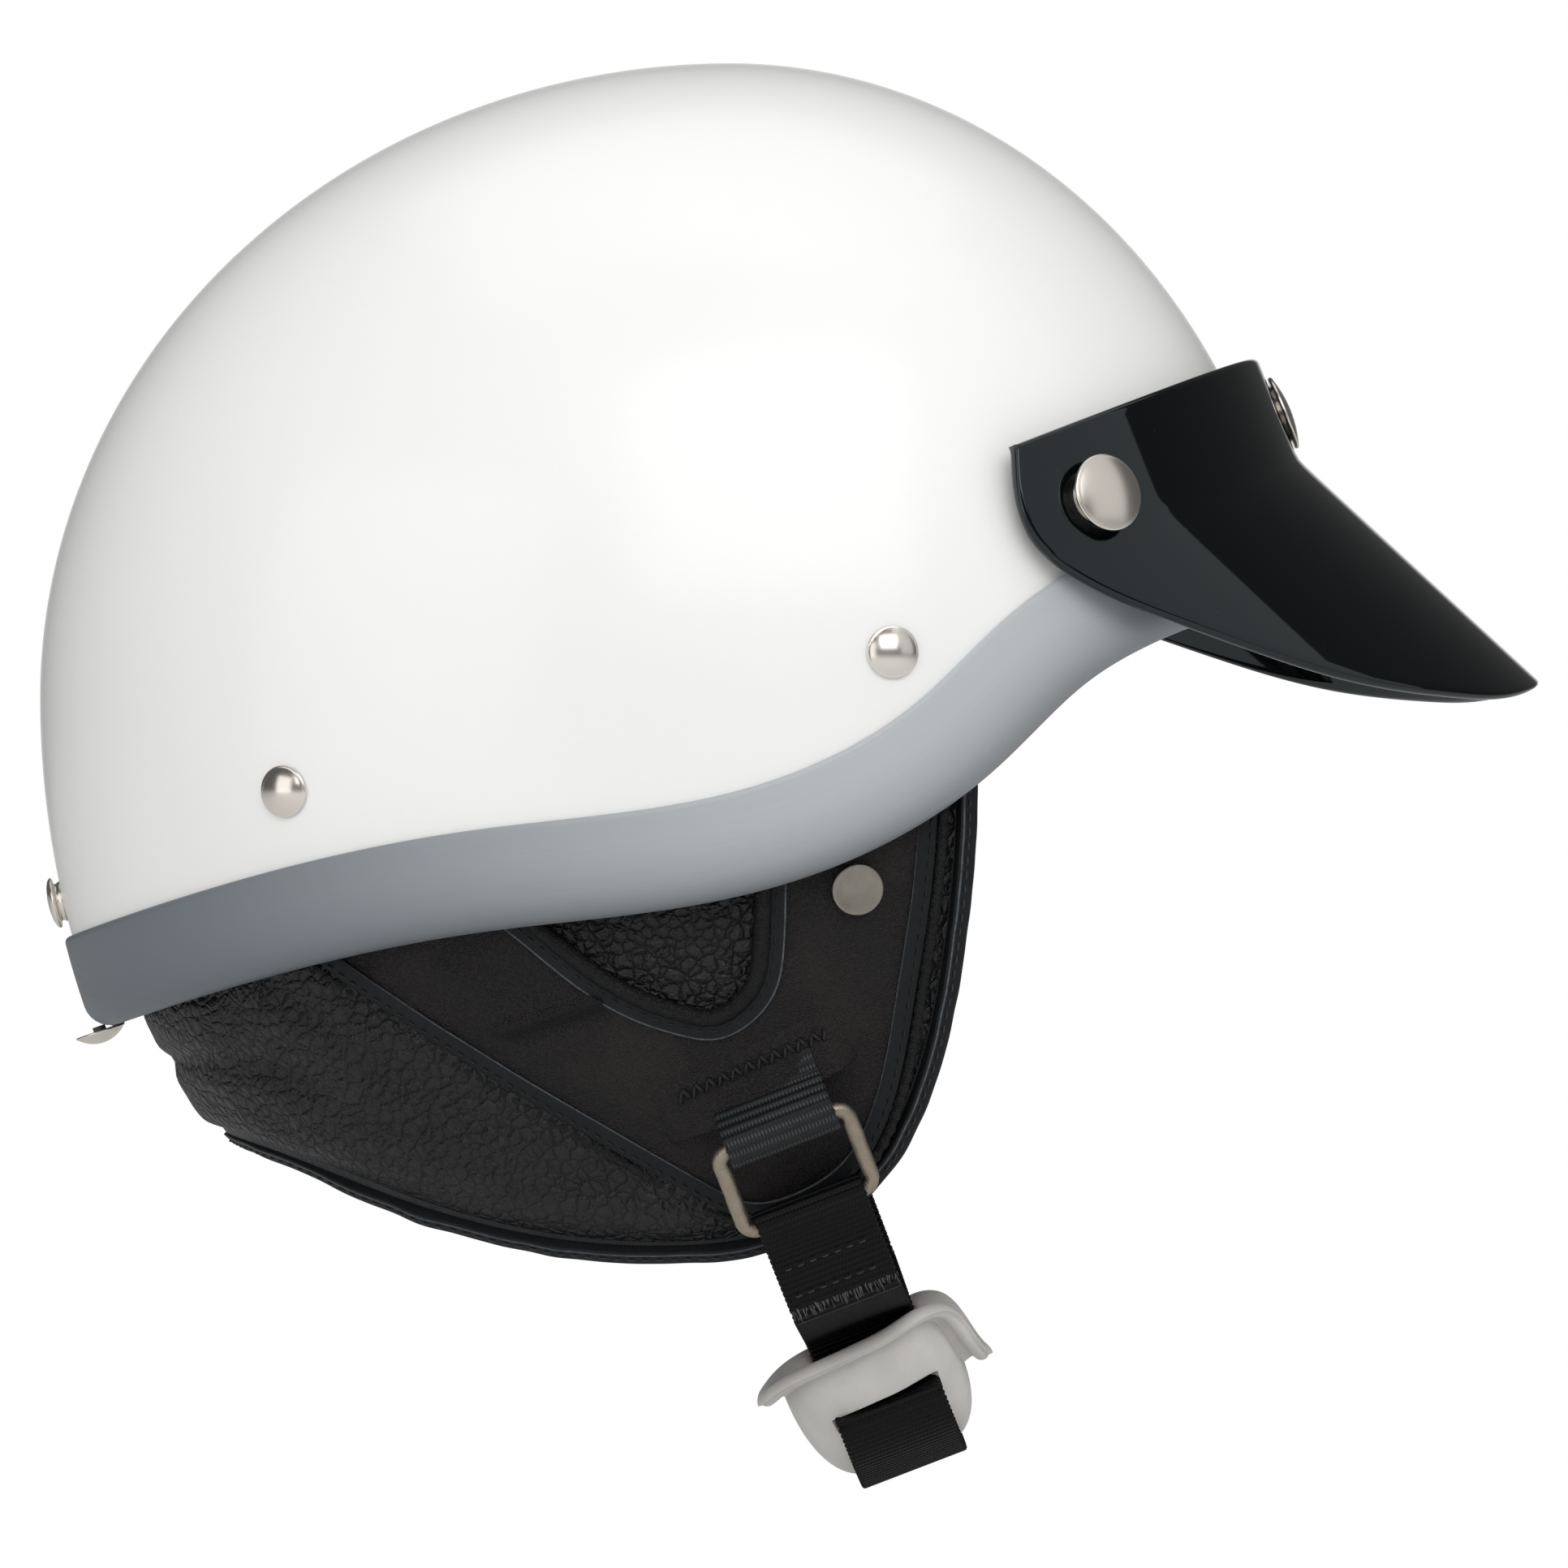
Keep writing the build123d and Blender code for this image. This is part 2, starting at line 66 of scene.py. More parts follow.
# Leather curtain, side view outlines as shares of the egg's reach and height
curtain_depth, curtain_inset, curtain_thickness = 166.7, 9.0, 5.5
curtain_shares = (
    (-1.0, -0.55), (-0.69, -0.578), (-0.475, -0.643), (-0.237, -0.694), (-0.066, -0.701),
    (0.066, -0.687), (0.252, -0.609), (0.348, -0.49), (0.398, -0.341), (0.422, -0.182), (0.423, 0.05),
)
panel_shares = (
    (-0.72, -0.20), (-0.537, -0.322), (-0.032, -0.594), (0.037, -0.617), (0.12, -0.604), (0.19, -0.569),
    (0.237, -0.51), (0.266, -0.43), (0.286, -0.341), (0.307, -0.242), (0.317, -0.157), (0.325, 0.05),
)
window_shares = (
    (-0.46, -0.20), (-0.31, -0.282), (-0.202, -0.357), (-0.134, -0.391), (-0.066, -0.411),
    (-0.02, -0.416), (0.037, -0.396), (0.079, -0.356), (0.093, -0.301), (0.096, -0.23), (0.096, -0.05),
)
panel_thickness, hem_width, neck_middle = 1.8, 5.2, (0.0, 0.0, -60.0)
rivet_shares = ((0.276, 0.063), (-0.62, -0.118))
curtain_snap_shares = (0.217, -0.236)
rear_stud_share, trim_rivet_share = -0.257, -0.915
slit_ends, lip_reach = ((-13.9, -98.9), (29.0, -78.3)), 15.0
zigzag_ends, zigzag_step = ((-10.3, -89.0), (21.9, -74.8)), 3.0

# Peak
peak_tilt, peak_lift, peak_wall = 21.9, 29.4, 3.2
band_reach, band_half_width, band_height = 129.2, 116.0, 25.0
bill_reach, bill_half_width, bill_height = 163.5, 121.0, 72.0
peak_shares = (
    (0.488, 0.62), (0.486, 0.36), (0.493, 0.292), (0.527, 0.224), (0.576, 0.187), (0.77, 0.11),
    (0.919, 0.064), (1.091, 0.021), (1.27, 0.001), (1.364, 0.003), (1.419, 0.019), (1.5, 0.06),
)
front_snap_drop, side_snap_drop, side_snap_forward = 14.0, 17.2, 80.8
front_cap_lift, side_cap_lift, barrel_radius = 0.5, 2.8, 6.5

# Chin strap, rings and cup
chin_tilt, chin_forward, chin_drop = 21.0, 11.5, 95.7
ring_wire_radius, ring_height, ring_corner_radius = 1.8, 18.6, 3.0
ring_top_out, ring_bottom_out, ring_side_play = 92.5, 82.5, 0.8
webbing_width, webbing_thickness = 25.0, 1.5
loop_rib, strap_rib = 2.3, 1.5
fold_gap, fold_neck, tail_length, fold_stitch_drops = 0.45, 9.0, 22.0, (11.5, 18.8)
cup_drop, cup_depth, cup_half_length, cup_half_width = 57.5, 26.0, 23.5, 35.0
cup_wall, cup_flange, slot_top_drop, slot_bottom_drop = 2.4, 3.4, 4.8, 12.2
wrap_turn, bead_radius, cup_squareness, wall_steepness = 30.0, 1.5, 0.78, 0.52
# The lip's height round the cup, from its front by degrees of turn: the front curls down
lip_turns = (0, 14, 24, 32, 40, 50, 66, 83, 102, 119, 139, 160, 180)
lip_heights = (-66.2, -65.6, -62.6, -58.0, -54.8, -53.2, -53.0, -54.4, -55.5, -56.0, -56.9, -58.4, -59.0)

# Domed heads: radius, height of the rim and of the crown, then radius and depth of the foot
rivet_head = (5.8, 0.8, 2.6, 2.2, 3.8)
trim_head = (5.8, 0.6, 2.9, 1.5, 1.0)
cap_head = (8.7, 1.0, 2.3, 3.7, 0.4)
strap_head = (6.2, 0.8, 1.8, 2.0, 1.2)

# Stitches: length, gap and radius, and how deep their ends dip
hem_stitch, band_stitch, strap_stitch = (2.3, 0.9, 0.26), (2.6, 1.2, 0.28), (2.0, 0.9, 0.24)
panel_stitch_length, panel_stitch_radius, zigzag_radius = 2.2, 0.24, 0.45
stitch_sink = 0.3

RIGHT, LEFT = -1, 1
SIDES = (("right", RIGHT), ("left", LEFT))


# Curves and surfaces

def unit(vectors):
    """Vectors brought to length one."""
    return vectors / np.maximum(np.linalg.norm(vectors, axis=-1, keepdims=True), 1e-9)


def leftward(way):
    """Flat directions turned a quarter to the left."""
    return np.stack([-way[..., 1], way[..., 0]], -1)


def eased(steps):
    """Shares from 0 to 1, closer together at both ends: half of one less a cosine."""
    return (1 - np.cos(np.linspace(0, np.pi, steps))) / 2


def circle(sides):
    """A round outline of radius one that ends on its first point."""
    turn = np.linspace(0, 2 * np.pi, sides + 1)
    return np.stack([np.cos(turn), np.sin(turn)], -1)


def lengths_along(points):
    """The length of a run of points up to each of them."""
    return np.append(0.0, np.cumsum(np.linalg.norm(np.diff(points, axis=0), axis=1)))


def smooth_line(points, count):
    """A natural cubic spline through the points, spread by the chords between them."""
    points = np.asarray(points, float)
    knots = lengths_along(points)
    gaps = np.diff(knots)
    slopes = np.diff(points, axis=0) / gaps[:, None]
    matrix = np.eye(len(points))
    inner = np.arange(1, len(points) - 1)
    matrix[inner, inner - 1] = gaps[:-1]
    matrix[inner, inner] = 2 * (gaps[:-1] + gaps[1:])
    matrix[inner, inner + 1] = gaps[1:]
    right = np.zeros_like(points)
    right[1:-1] = 6 * np.diff(slopes, axis=0)
    bends = np.linalg.solve(matrix, right)
    at = np.linspace(0, knots[-1], count)
    k = np.clip(np.searchsorted(knots, at, side="right") - 1, 0, len(points) - 2)
    a = ((knots[k + 1] - at) / gaps[k])[:, None]
    b = 1 - a
    curve = (a**3 - a) * bends[k] + (b**3 - b) * bends[k + 1]
    return a * points[k] + b * points[k + 1] + curve * gaps[k][:, None] ** 2 / 6


def read_off(at, run, values):
    """Rows of values read off at lengths along a run."""
    return np.stack([np.interp(at, run, column) for column in values.T], -1)


def spaced(points, count):
    """So many points at even lengths along a run of points."""
    run = lengths_along(points)
    return read_off(np.linspace(0, run[-1], count), run, points)


def side_line(shares, shift, count=600):
    """A side view line through shares of the egg's reach and height, moved to its right hand: each
    point goes along its own normal."""
    shares = np.array(shares)
    reach = np.where(shares[:, 0] > 0, front_reach, rear_reach)
    height = np.where(shares[:, 1] > 0, crown_height, skirt_depth)
    line = smooth_line(shares * np.stack([reach, height], -1), count)
    return line - leftward(unit(np.gradient(line, axis=0))) * shift


def egg_sizes(points, inset, depth):
    """The half axes of the quarter ellipsoid that each point lies in."""
    reach = np.where(points[..., 0] > 0, front_reach, rear_reach) - inset
    height = np.where(points[..., 2] > 0, crown_height, depth) - inset
    return np.stack([reach, np.full_like(reach, half_width) - inset, height], -1)


def outward(points, depth=skirt_depth):
    """The egg's outward direction at points near it: each coordinate over its half axis squared."""
    return unit(points / egg_sizes(points, 0.0, depth) ** 2)


def on_curtain(points, inset=curtain_inset):
    """Points moved along their own radius onto the curtain's egg, and the way outwards there."""
    points = points / np.linalg.norm(points / egg_sizes(points, inset, curtain_depth), axis=-1, keepdims=True)
    return points, outward(points, curtain_depth)


def at_level(turn, z, inset, depth):
    """Egg points at a turn about Z and a height: the level ellipse there, shrunk by the rise."""
    z = z + np.zeros_like(turn)
    height = np.where(z > 0, crown_height, depth) - inset
    level = np.sqrt(np.clip(1 - (z / height) ** 2, 0, 1))
    reach = np.where(np.cos(turn) > 0, front_reach, rear_reach) - inset
    across = (half_width - inset) * level * np.sin(turn)
    return np.stack([reach * level * np.cos(turn), across, z], -1)


def meet(turn, line, inset, depth=skirt_depth):
    """The egg's points, at each turn, on a side view line: an interval of height halved forty times."""
    low = np.full_like(turn, line[:, 1].min() - 1)
    high = np.full_like(turn, line[:, 1].max() + 1)
    for _ in range(40):
        middle = (low + high) / 2
        x = at_level(turn, middle, inset, depth)[..., 0]
        above = middle > np.interp(x, line[:, 0], line[:, 1])
        high = np.where(above, middle, high)
        low = np.where(above, low, middle)
    return at_level(turn, (low + high) / 2, inset, depth)


def round_rim(turn, up, inset):
    """A run round the egg, so far above the rim's line."""
    return meet(turn, side_line(rim_shares, -up), inset)


def in_middle(flat):
    """Side view points or directions put in the part's middle plane."""
    flat = np.asarray(flat, float)
    return np.stack([flat[..., 0], np.zeros(flat.shape[:-1]), flat[..., 1]], -1)


def on_side(flat, facing, proud=0.0, inset=curtain_inset, depth=curtain_depth):
    """Side view points put on the curtain's egg or another one, so far proud of its face."""
    points = in_middle(flat)
    sizes = egg_sizes(points, inset, depth)
    left = 1 - (points[..., 0] / sizes[..., 0]) ** 2 - (points[..., 2] / sizes[..., 2]) ** 2
    points[..., 1] = facing * sizes[..., 1] * np.sqrt(np.clip(left, 0, 1))
    return points + outward(points, depth) * np.asarray(proud)[..., None]


def loft(low, high, share):
    """Rows at shares of the straight way from one run of points to another with as many points."""
    return low[:, None] + (high - low)[:, None] * share[None, :, None]


def ripples(points, wavelength, seed):
    """Soft uneven ripples between about -1 and 1: the sum of plane waves in seeded directions."""
    waves = 24
    random = np.random.default_rng(seed)
    ways = unit(random.normal(size=(waves, 3)))
    ways *= 2 * np.pi / (wavelength * random.uniform(0.7, 1.4, (waves, 1)))
    phases = random.uniform(0, 2 * np.pi, waves)
    return np.sin(points @ ways.T + phases).sum(-1) / np.sqrt(waves / 2) * 0.6


def corner_arc(before, corner, after, radius, steps=0, step=1.0):
    """The arc that touches both sides of a corner: its radii turn evenly from the first end to the
    last, with so many points or points about a step apart."""
    ways = unit(before - corner), unit(after - corner)
    half = np.arccos(np.clip(ways[0] @ ways[1], -1, 1)) / 2
    centre = corner + unit(ways[0] + ways[1]) * radius / np.sin(half)
    start, end = (corner + way * radius / np.tan(half) - centre for way in ways)
    angle = np.pi - 2 * half
    share = np.linspace(0, 1, steps or max(4, int(angle * radius / step)))[:, None]
    return centre + (np.sin((1 - share) * angle) * start + np.sin(share * angle) * end) / np.sin(angle)


def rounded_loop(corners, radii, steps):
    """A closed outline with its corners rounded."""
    corners = np.asarray(corners, float)
    sides = zip(np.roll(corners, 1, 0), corners, np.roll(corners, -1, 0), radii)
    rows = [corner_arc(*side, steps) for side in sides]
    return np.concatenate(rows + [rows[0][:1]])


def filleted(corners, radii, step):
    """An open run of straight lines with rounded corners, as points about a step apart."""
    corners = np.asarray(corners, float)
    rows = [corner_arc(*side, step=step) for side in zip(corners, corners[1:], corners[2:], radii)]
    points = np.concatenate([corners[:1], *rows, corners[-1:]])
    return spaced(points, int(lengths_along(points)[-1] / step))


def across_and_along(first, second):
    """UV places of a grid from one number for each row and one for each column."""
    return np.stack(np.meshgrid(first, second, indexing="ij"), -1)


def grid(points, uv=None):
    """The points, four-sided faces and UV places of a grid."""
    rows, columns = points.shape[:2]
    index = np.arange(rows * columns).reshape(rows, columns)
    faces = np.stack([index[:-1, :-1], index[1:, :-1], index[1:, 1:], index[:-1, 1:]], -1)
    if uv is None:
        uv = across_and_along(np.linspace(0, 1, rows), np.linspace(0, 1, columns))
    return points.reshape(-1, 3), faces.reshape(-1, 4), uv.reshape(-1, 2)


def repeated(points):
    """Many small grids of one size, taken together."""
    one = grid(points[0])[1]
    count = points.shape[1] * points.shape[2]
    faces = (one[None] + (np.arange(len(points)) * count)[:, None, None]).reshape(-1, 4)
    return points.reshape(-1, 3), faces, np.zeros((len(points) * count, 2))


def wrapped(face, back):
    """A closed form with a face and a back of as many points."""
    return grid(np.concatenate([face, back[:, ::-1], face[:, :1]], 1))


def end_caps(points, uv):
    """A grid with one more row at each end, where all points meet in the end's middle."""
    ends = [points[i].mean(0) + np.zeros_like(points[i]) for i in (0, -1)]
    return np.concatenate([ends[:1], points, ends[1:]]), np.concatenate([uv[:1], uv, uv[-1:]])


def carried(profile, path, out, girth=1.0, capped=True):
    """A closed profile carried along a path: its first number goes across, its second outwards. Its
    girth may change along the path."""
    ahead = unit(np.gradient(path, axis=0))
    across = unit(np.cross(ahead, out))
    out = unit(np.cross(across, ahead))
    rows = np.reshape(girth, (-1, 1, 1)) * profile
    points = path[:, None] + across[:, None] * rows[..., :1] + out[:, None] * rows[..., 1:]
    uv = across_and_along(lengths_along(path), lengths_along(profile))
    return grid(*end_caps(points, uv)) if capped else grid(points, uv)


def turned(profile, seat, axis, sides=64):
    """A profile of radius and height turned about an axis that stands on its seat."""
    profile = np.asarray(profile, float)
    axis = unit(np.asarray(axis, float))
    first = unit(np.cross(axis, (0.0, 0.0, 1.0) if abs(axis[2]) < 0.9 else (1.0, 0.0, 0.0)))
    ring = circle(sides) @ np.stack([first, np.cross(axis, first)])
    return grid(ring[:, None] * profile[None, :, :1] + axis * profile[None, :, 1:] + seat)


def domed_head(radius, rim, crown, foot, sink):
    """The profile of a domed head: a shallow dome, a rounded rim and a flat underside."""
    flat, rise = radius - rim / 2, crown - rim
    dome = (flat**2 + rise**2) / (2 * rise)
    reach = np.linspace(0, flat, 14)
    top = np.stack([reach, crown - dome + np.sqrt(dome**2 - reach**2)], -1)
    turn = np.radians(np.linspace(70, -90, 9))
    edge = np.stack([flat + rim / 2 * np.cos(turn), rim / 2 * (1 + np.sin(turn))], -1)
    under = [((flat + foot) / 2, 0.0), (foot, 0.0), (foot, -sink), (0.0, -sink)]
    return np.concatenate([top, edge, under])


def stitch_row(path, out, length, gap, radius):
    """Threads along a path: each is a short six-sided tube that dips into the leather at its ends."""
    run = lengths_along(path)
    at = np.arange(length, run[-1] - length, length + gap)
    spots, up = read_off(at, run, path), unit(read_off(at, run, out))
    ahead = unit(read_off(at, run, unit(np.gradient(path, axis=0))))
    axes = np.stack([ahead, unit(np.cross(ahead, up)), up], 1)
    share = np.array([-1.0, -0.85, -0.4, 0.4, 0.85, 1.0])
    girth = np.array([0.0, 0.75, 1.0, 1.0, 0.75, 0.0]) * radius
    lift = radius * (1 - share**2 * (1 + stitch_sink / radius))
    wide, high = (girth[:, None] * column for column in circle(6).T * ((1.0,), (0.8,)))
    long = np.broadcast_to((share * length / 2)[:, None], wide.shape)
    shape = np.stack([long, wide, high + lift[:, None]], -1)
    return repeated(spots[:, None, None] + np.einsum("rck,nkd->nrcd", shape, axes))


def threads(starts, ends, radius):
    """Thin four-sided fibres, each from its start to its end, which narrow to a point."""
    way = ends - starts
    across = unit(np.cross(way, (0.3, 0.5, 0.8)))
    ring = np.einsum("ck,nkd->ncd", circle(4), np.stack([across, unit(np.cross(way, across))], 1))
    share = np.array([0.0, 0.08, 0.5, 0.92, 1.0])
    girth = np.array([0.0, 1.0, 1.0, 0.7, 0.0]) * radius
    middle = starts[:, None] + way[:, None] * share[None, :, None]
    return repeated(middle[:, :, None] + ring[:, None] * girth[None, :, None, None])


# Meshes

def build(name, grids, centre):
    """One smooth mesh in metres from grids in millimetres. Points that meet are merged. Closed forms
    get their faces outwards, and an open one is turned so that it faces away from centre."""
    points, faces, places = zip(*grids)
    firsts = np.cumsum([0] + [len(some) for some in points])
    points, places = np.concatenate(points) * millimetre, np.concatenate(places)
    faces = np.concatenate([quads + first for quads, first in zip(faces, firsts)])
    mesh = bpy.data.meshes.new(name)
    mesh.vertices.add(len(points))
    mesh.vertices.foreach_set("co", points.ravel())
    mesh.loops.add(faces.size)
    mesh.loops.foreach_set("vertex_index", faces.ravel())
    mesh.polygons.add(len(faces))
    mesh.polygons.foreach_set("loop_start", np.arange(0, faces.size, 4))
    mesh.update(calc_edges=True)
    layer = mesh.uv_layers.new(name="UVMap")
    layer.data.foreach_set("uv", places[faces.ravel()].ravel())
    work = bmesh.new()
    work.from_mesh(mesh)
    bmesh.ops.remove_doubles(work, verts=work.verts, dist=2e-6)
    bmesh.ops.dissolve_degenerate(work, edges=work.edges, dist=1e-7)
    if centre is None:
        bmesh.ops.recalc_face_normals(work, faces=work.faces)
    else:
        work.normal_update()
        middle = Vector(centre) * millimetre
        facing = sum(f.normal.dot(f.calc_center_median() - middle) * f.calc_area() for f in work.faces)
        if facing < 0:
            bmesh.ops.reverse_faces(work, faces=work.faces)
    for face in work.faces:
        face.smooth = True
    work.to_mesh(mesh)
    work.free()
    piece = bpy.data.objects.new(name, mesh)
    bpy.context.scene.collection.objects.link(piece)
    return piece


def add(name, grids, finish, stands_for="", body="helmet", centre=None):
    """Builds a piece and gives it its finish, its body and the node that it stands for."""
    piece = build(name, grids, centre)
    piece.data.materials.append(finish)
    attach(piece, body)
    if stands_for:
        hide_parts(stands_for)
    return piece


def thicken(piece, thickness):
    """Gives an open surface its thickness, inwards from its face."""
    wall = piece.modifiers.new("wall", "SOLIDIFY")
    wall.thickness = thickness * millimetre
    wall.offset = -1.0
    wall.use_even_offset = False


# Finishes

def maths(operation):
    """A method of Value that adds one Math node."""
    return lambda value, *others: value.work(operation, *others)


class Value:
    """A number socket of a material. Python's operators on it add the Math nodes."""

    __add__ = __radd__ = maths("ADD")
    __mul__ = __rmul__ = maths("MULTIPLY")
    __sub__, __truediv__, __pow__ = maths("SUBTRACT"), maths("DIVIDE"), maths("POWER")

    def __init__(self, finish, socket):
        self.finish, self.socket = finish, socket

    def work(self, operation, *others):
        return self.finish.node("Math", dict(enumerate((self, *others))), operation=operation)

    def __rsub__(self, other):
        return self.work("MULTIPLY_ADD", -1.0, other)

    def between(self, low, high):
        """0 at low, 1 at high, eased and held outside."""
        inputs = {"Value": self, "From Min": low, "From Max": high}
        return self.finish.node("MapRange", inputs, interpolation_type="SMOOTHSTEP")

    def beside(self, output):
        """Another output of the same node."""
        return Value(self.finish, self.socket.node.outputs[output])


class Finish:
    """A material made of one Principled surface and the nodes that feed it."""

    def __init__(self, name, **surface):
        self.material = bpy.data.materials.new(name)
        self.material.use_nodes = True
        self.tree = self.material.node_tree
        self.surface = self.tree.nodes["Principled BSDF"]
        for socket, value in surface.items():
            self.feed(socket.replace("_", " "), value)

    def node(self, kind, inputs=(), output=0, **settings):
        """Adds a node: settings first, then its sockets' values or links. Gives back one output."""
        made = self.tree.nodes.new("ShaderNode" + kind)
        for key, value in settings.items():
            setattr(made, key, value)
        for key, value in dict(inputs).items():
            self.put(made.inputs[key], value)
        return Value(self, made.outputs[output])

    def put(self, socket, value):
        if isinstance(value, Value):
            self.tree.links.new(value.socket, socket)
        else:
            socket.default_value = value

    def feed(self, socket, value):
        self.put(self.surface.inputs[socket], value)

    def spot(self):
        """Object coordinates in millimetres."""
        inputs = {"Vector": self.node("TexCoord", output="Object"), "Scale": [1 / millimetre] * 3}
        return self.node("Mapping", inputs)

    def flat_spot(self):
        """The two numbers of the piece's own UV map, in millimetres."""
        along = self.node("SeparateXYZ", {"Vector": self.node("TexCoord", output="UV")}, "X")
        return along, along.beside("Y")

    def noise(self, size, detail, spot=None, distortion=0.0, output="Fac"):
        """Noise between 0 and 1 with features of about that many millimetres."""
        inputs = {"Vector": spot or self.spot(), "Scale": 1 / size, "Detail": detail}
        inputs["Distortion"] = distortion
        return self.node("TexNoise", inputs, output)

    def cells(self, size, spot=None, feature="DISTANCE_TO_EDGE"):
        """The distance to the edge, or to the middle, of the cell around each point."""
        inputs = {"Vector": spot or self.spot(), "Scale": 1 / size}
        return self.node("TexVoronoi", inputs, "Distance", feature=feature)

    def warped(self, size, amount):
        """Object coordinates pushed about by a noise, so that a pattern isn't regular."""
        spot = self.spot()
        push = self.noise(size, 2.0, spot, output="Color")
        push = self.node("VectorMath", {0: push, 1: (0.5, 0.5, 0.5)}, operation="SUBTRACT")
        push = self.node("VectorMath", {0: push, "Scale": amount}, operation="SCALE")
        return self.node("VectorMath", {0: spot, 1: push}, operation="ADD")

    def blend(self, share, *tones):
        """A colour between two colours: each is fed by nodes, linear, or in the steps of a screen."""
        ready = [tone if isinstance(tone, Value) or len(tone) == 4 else colour(*tone) for tone in tones]
        return self.node("Mix", {"Factor": share, 6: ready[0], 7: ready[1]}, 2, data_type="RGBA")

    def made(self, tone, roughness, height=None, depth=0.0, strength=1.0):
        """Feeds the colour, the roughness and a bump of so many millimetres. Gives the material."""
        self.feed("Base Color", tone)
        self.feed("Roughness", roughness)
        if height:
            inputs = {"Height": height, "Distance": depth * millimetre, "Strength": strength}
            self.feed("Normal", self.node("Bump", inputs))
        return self.material


class Surround(Finish):
    """The nodes that light the world."""

    def __init__(self, world):
        self.tree = world.node_tree
        self.surface = self.tree.nodes["Background"]


def colour(red, green, blue):
    """A colour from the 0 to 255 steps of a screen, made linear."""
    screen = np.array([red, green, blue]) / 255
    linear = np.where(screen > 0.04045, ((screen + 0.055) / 1.055) ** 2.4, screen / 12.92)
    return (*[float(c) for c in linear], 1.0)


def white_lacquer():
    """Gloss white lacquer with a faint orange peel."""
    f = Finish("white_lacquer", Coat_Weight=0.7, Coat_Roughness=0.2, IOR=1.45)
    tone = f.blend(f.noise(60.0, 2.0), (245, 245, 243), (249, 249, 247))
    return f.made(tone, 0.4, f.noise(5.0, 2.0), 0.012, 0.5)


def black_gloss():
    """Polished black moulding with a few specks of dust."""
    f = Finish("black_gloss", IOR=1.58, Specular_Tint=(0.84, 0.95, 1.0, 1.0))
    dust = f.noise(1.1, 1.0).between(0.80, 0.84)
    rough = 0.03 + dust * 0.3 + f.noise(25.0, 2.0) * 0.02
    return f.made(f.blend(dust, (5, 6, 7), (60, 64, 68)), rough, f.noise(40.0, 1.0), 0.05, 0.3)


def trim_rubber():
    """Satin blue-grey rubber with fine streaks along its length, with painted shade: paler forwards and darker
    below.
    """
    f = Finish("trim_rubber", IOR=1.48)
    along, around = f.flat_spot()
    fine = f.noise(1.0, 4.0, f.node("CombineXYZ", {"X": along * 0.03, "Y": around * 1.6}))
    # Painted shade: the colour darkens from the front towards the back, where less light falls
    painted_shade_rear_to_front = f.node("SeparateXYZ", {"Vector": f.spot()}, "X").between(-150.0, 40.0)
    tone = f.blend(painted_shade_rear_to_front, (104, 113, 119), (186, 191, 194))
    # Painted shade: the colour darkens towards the channel's lower edge, which faces down
    tone = f.blend(around.between(7.0, 27.0) * 0.6, tone, (92, 100, 108))
    tone = f.blend(fine * 0.14, tone, (120, 127, 131))
    return f.made(tone, 0.38 + fine * 0.14, fine * 0.6 + f.noise(0.8, 2.0) * 0.4, 0.05, 0.5)


def nickel(name, shade, roughness):
    """Nickel polished bright, or worn a little."""
    f = Finish(name, Metallic=1.0)
    return f.made(colour(*shade), roughness + f.noise(9.0, 2.0) * roughness * 0.12)


def pitted_nickel(name, shade, roughness, depth, size):
    """Old or rough cast nickel: pits of a size and depth, darker in clouds."""
    f = Finish(name, Metallic=1.0)
    cloud, shade = f.noise(2.5, 4.0), colour(*shade)
    dark = tuple(c * 0.62 for c in shade[:3]) + (1.0,)
    pits = f.noise(size, 3.0) + f.cells(size * 1.6) * 0.5
    return f.made(f.blend(cloud, dark, shade), roughness + cloud * roughness * 0.5, pits, depth, 0.8)


def grained_leather():
    """Coarse black leather: rounded grains of uneven size between fine creases."""
    f = Finish("grained_leather", IOR=1.48, Specular_IOR_Level=0.5)
    coarse = (f.cells(3.0, f.warped(2.8, 1.9)) * 2.1).work("MINIMUM", 1.0) ** 0.55
    fine = (f.cells(1.2, f.warped(1.2, 0.8)) * 2.2).work("MINIMUM", 1.0) ** 0.6
    height = coarse * 0.8 + fine * 0.16 + f.noise(8.0, 3.0, distortion=0.4) * 0.4
    rough = 0.44 - coarse * 0.10 + f.noise(9.0, 2.0) * 0.10
    return f.made(f.blend(coarse, (3, 3, 4), (14, 15, 16)), rough, height, 1.2)


def smooth_leather(name, low, high, wear=0.0):
    """Smooth leather: fine pores, faint wrinkles and, where worn, a browner tone."""
    f = Finish(name, IOR=1.47, Specular_IOR_Level=0.32)
    pores = f.cells(0.55, f.warped(1.0, 0.3)).between(0.0, 0.4)
    wrinkle = f.noise(3.2, 4.0, f.warped(8.0, 5.0), 1.2)
    cloud = f.noise(16.0, 3.0)
    tone = f.blend(wrinkle * 0.5 + cloud * 0.5, low, high)
    if wear:
        tone = f.blend(f.noise(30.0, 3.0).between(0.45, 0.75) * wear, tone, (42, 36, 34))
    return f.made(tone, 0.40 + cloud * 0.12 - pores * 0.05, pores * 0.4 + wrinkle * 0.5, 0.42, 0.95)


def edge_leather():
    """A strip of leather whose cut edge is paler: the second UV number runs across it."""
    f = Finish("edge_leather", IOR=1.47, Specular_IOR_Level=0.3)
    _, around = f.flat_spot()
    cut = f.noise(1.2, 3.0)
    edge = around.between(0.65, 0.9) * (1 - around.between(1.1, 1.4))
    grain = f.cells(0.7, f.warped(1.2, 0.4)).between(0.0, 0.4)
    tone = f.blend(f.noise(5.0, 3.0), (11, 13, 15), (24, 27, 30))
    tone = f.blend(edge * cut * 1.3, tone, (96, 103, 107))
    return f.made(tone, 0.55 + cut * 0.15, grain * 0.3 + f.noise(2.2, 3.0) * 0.6, 0.2, 0.8)


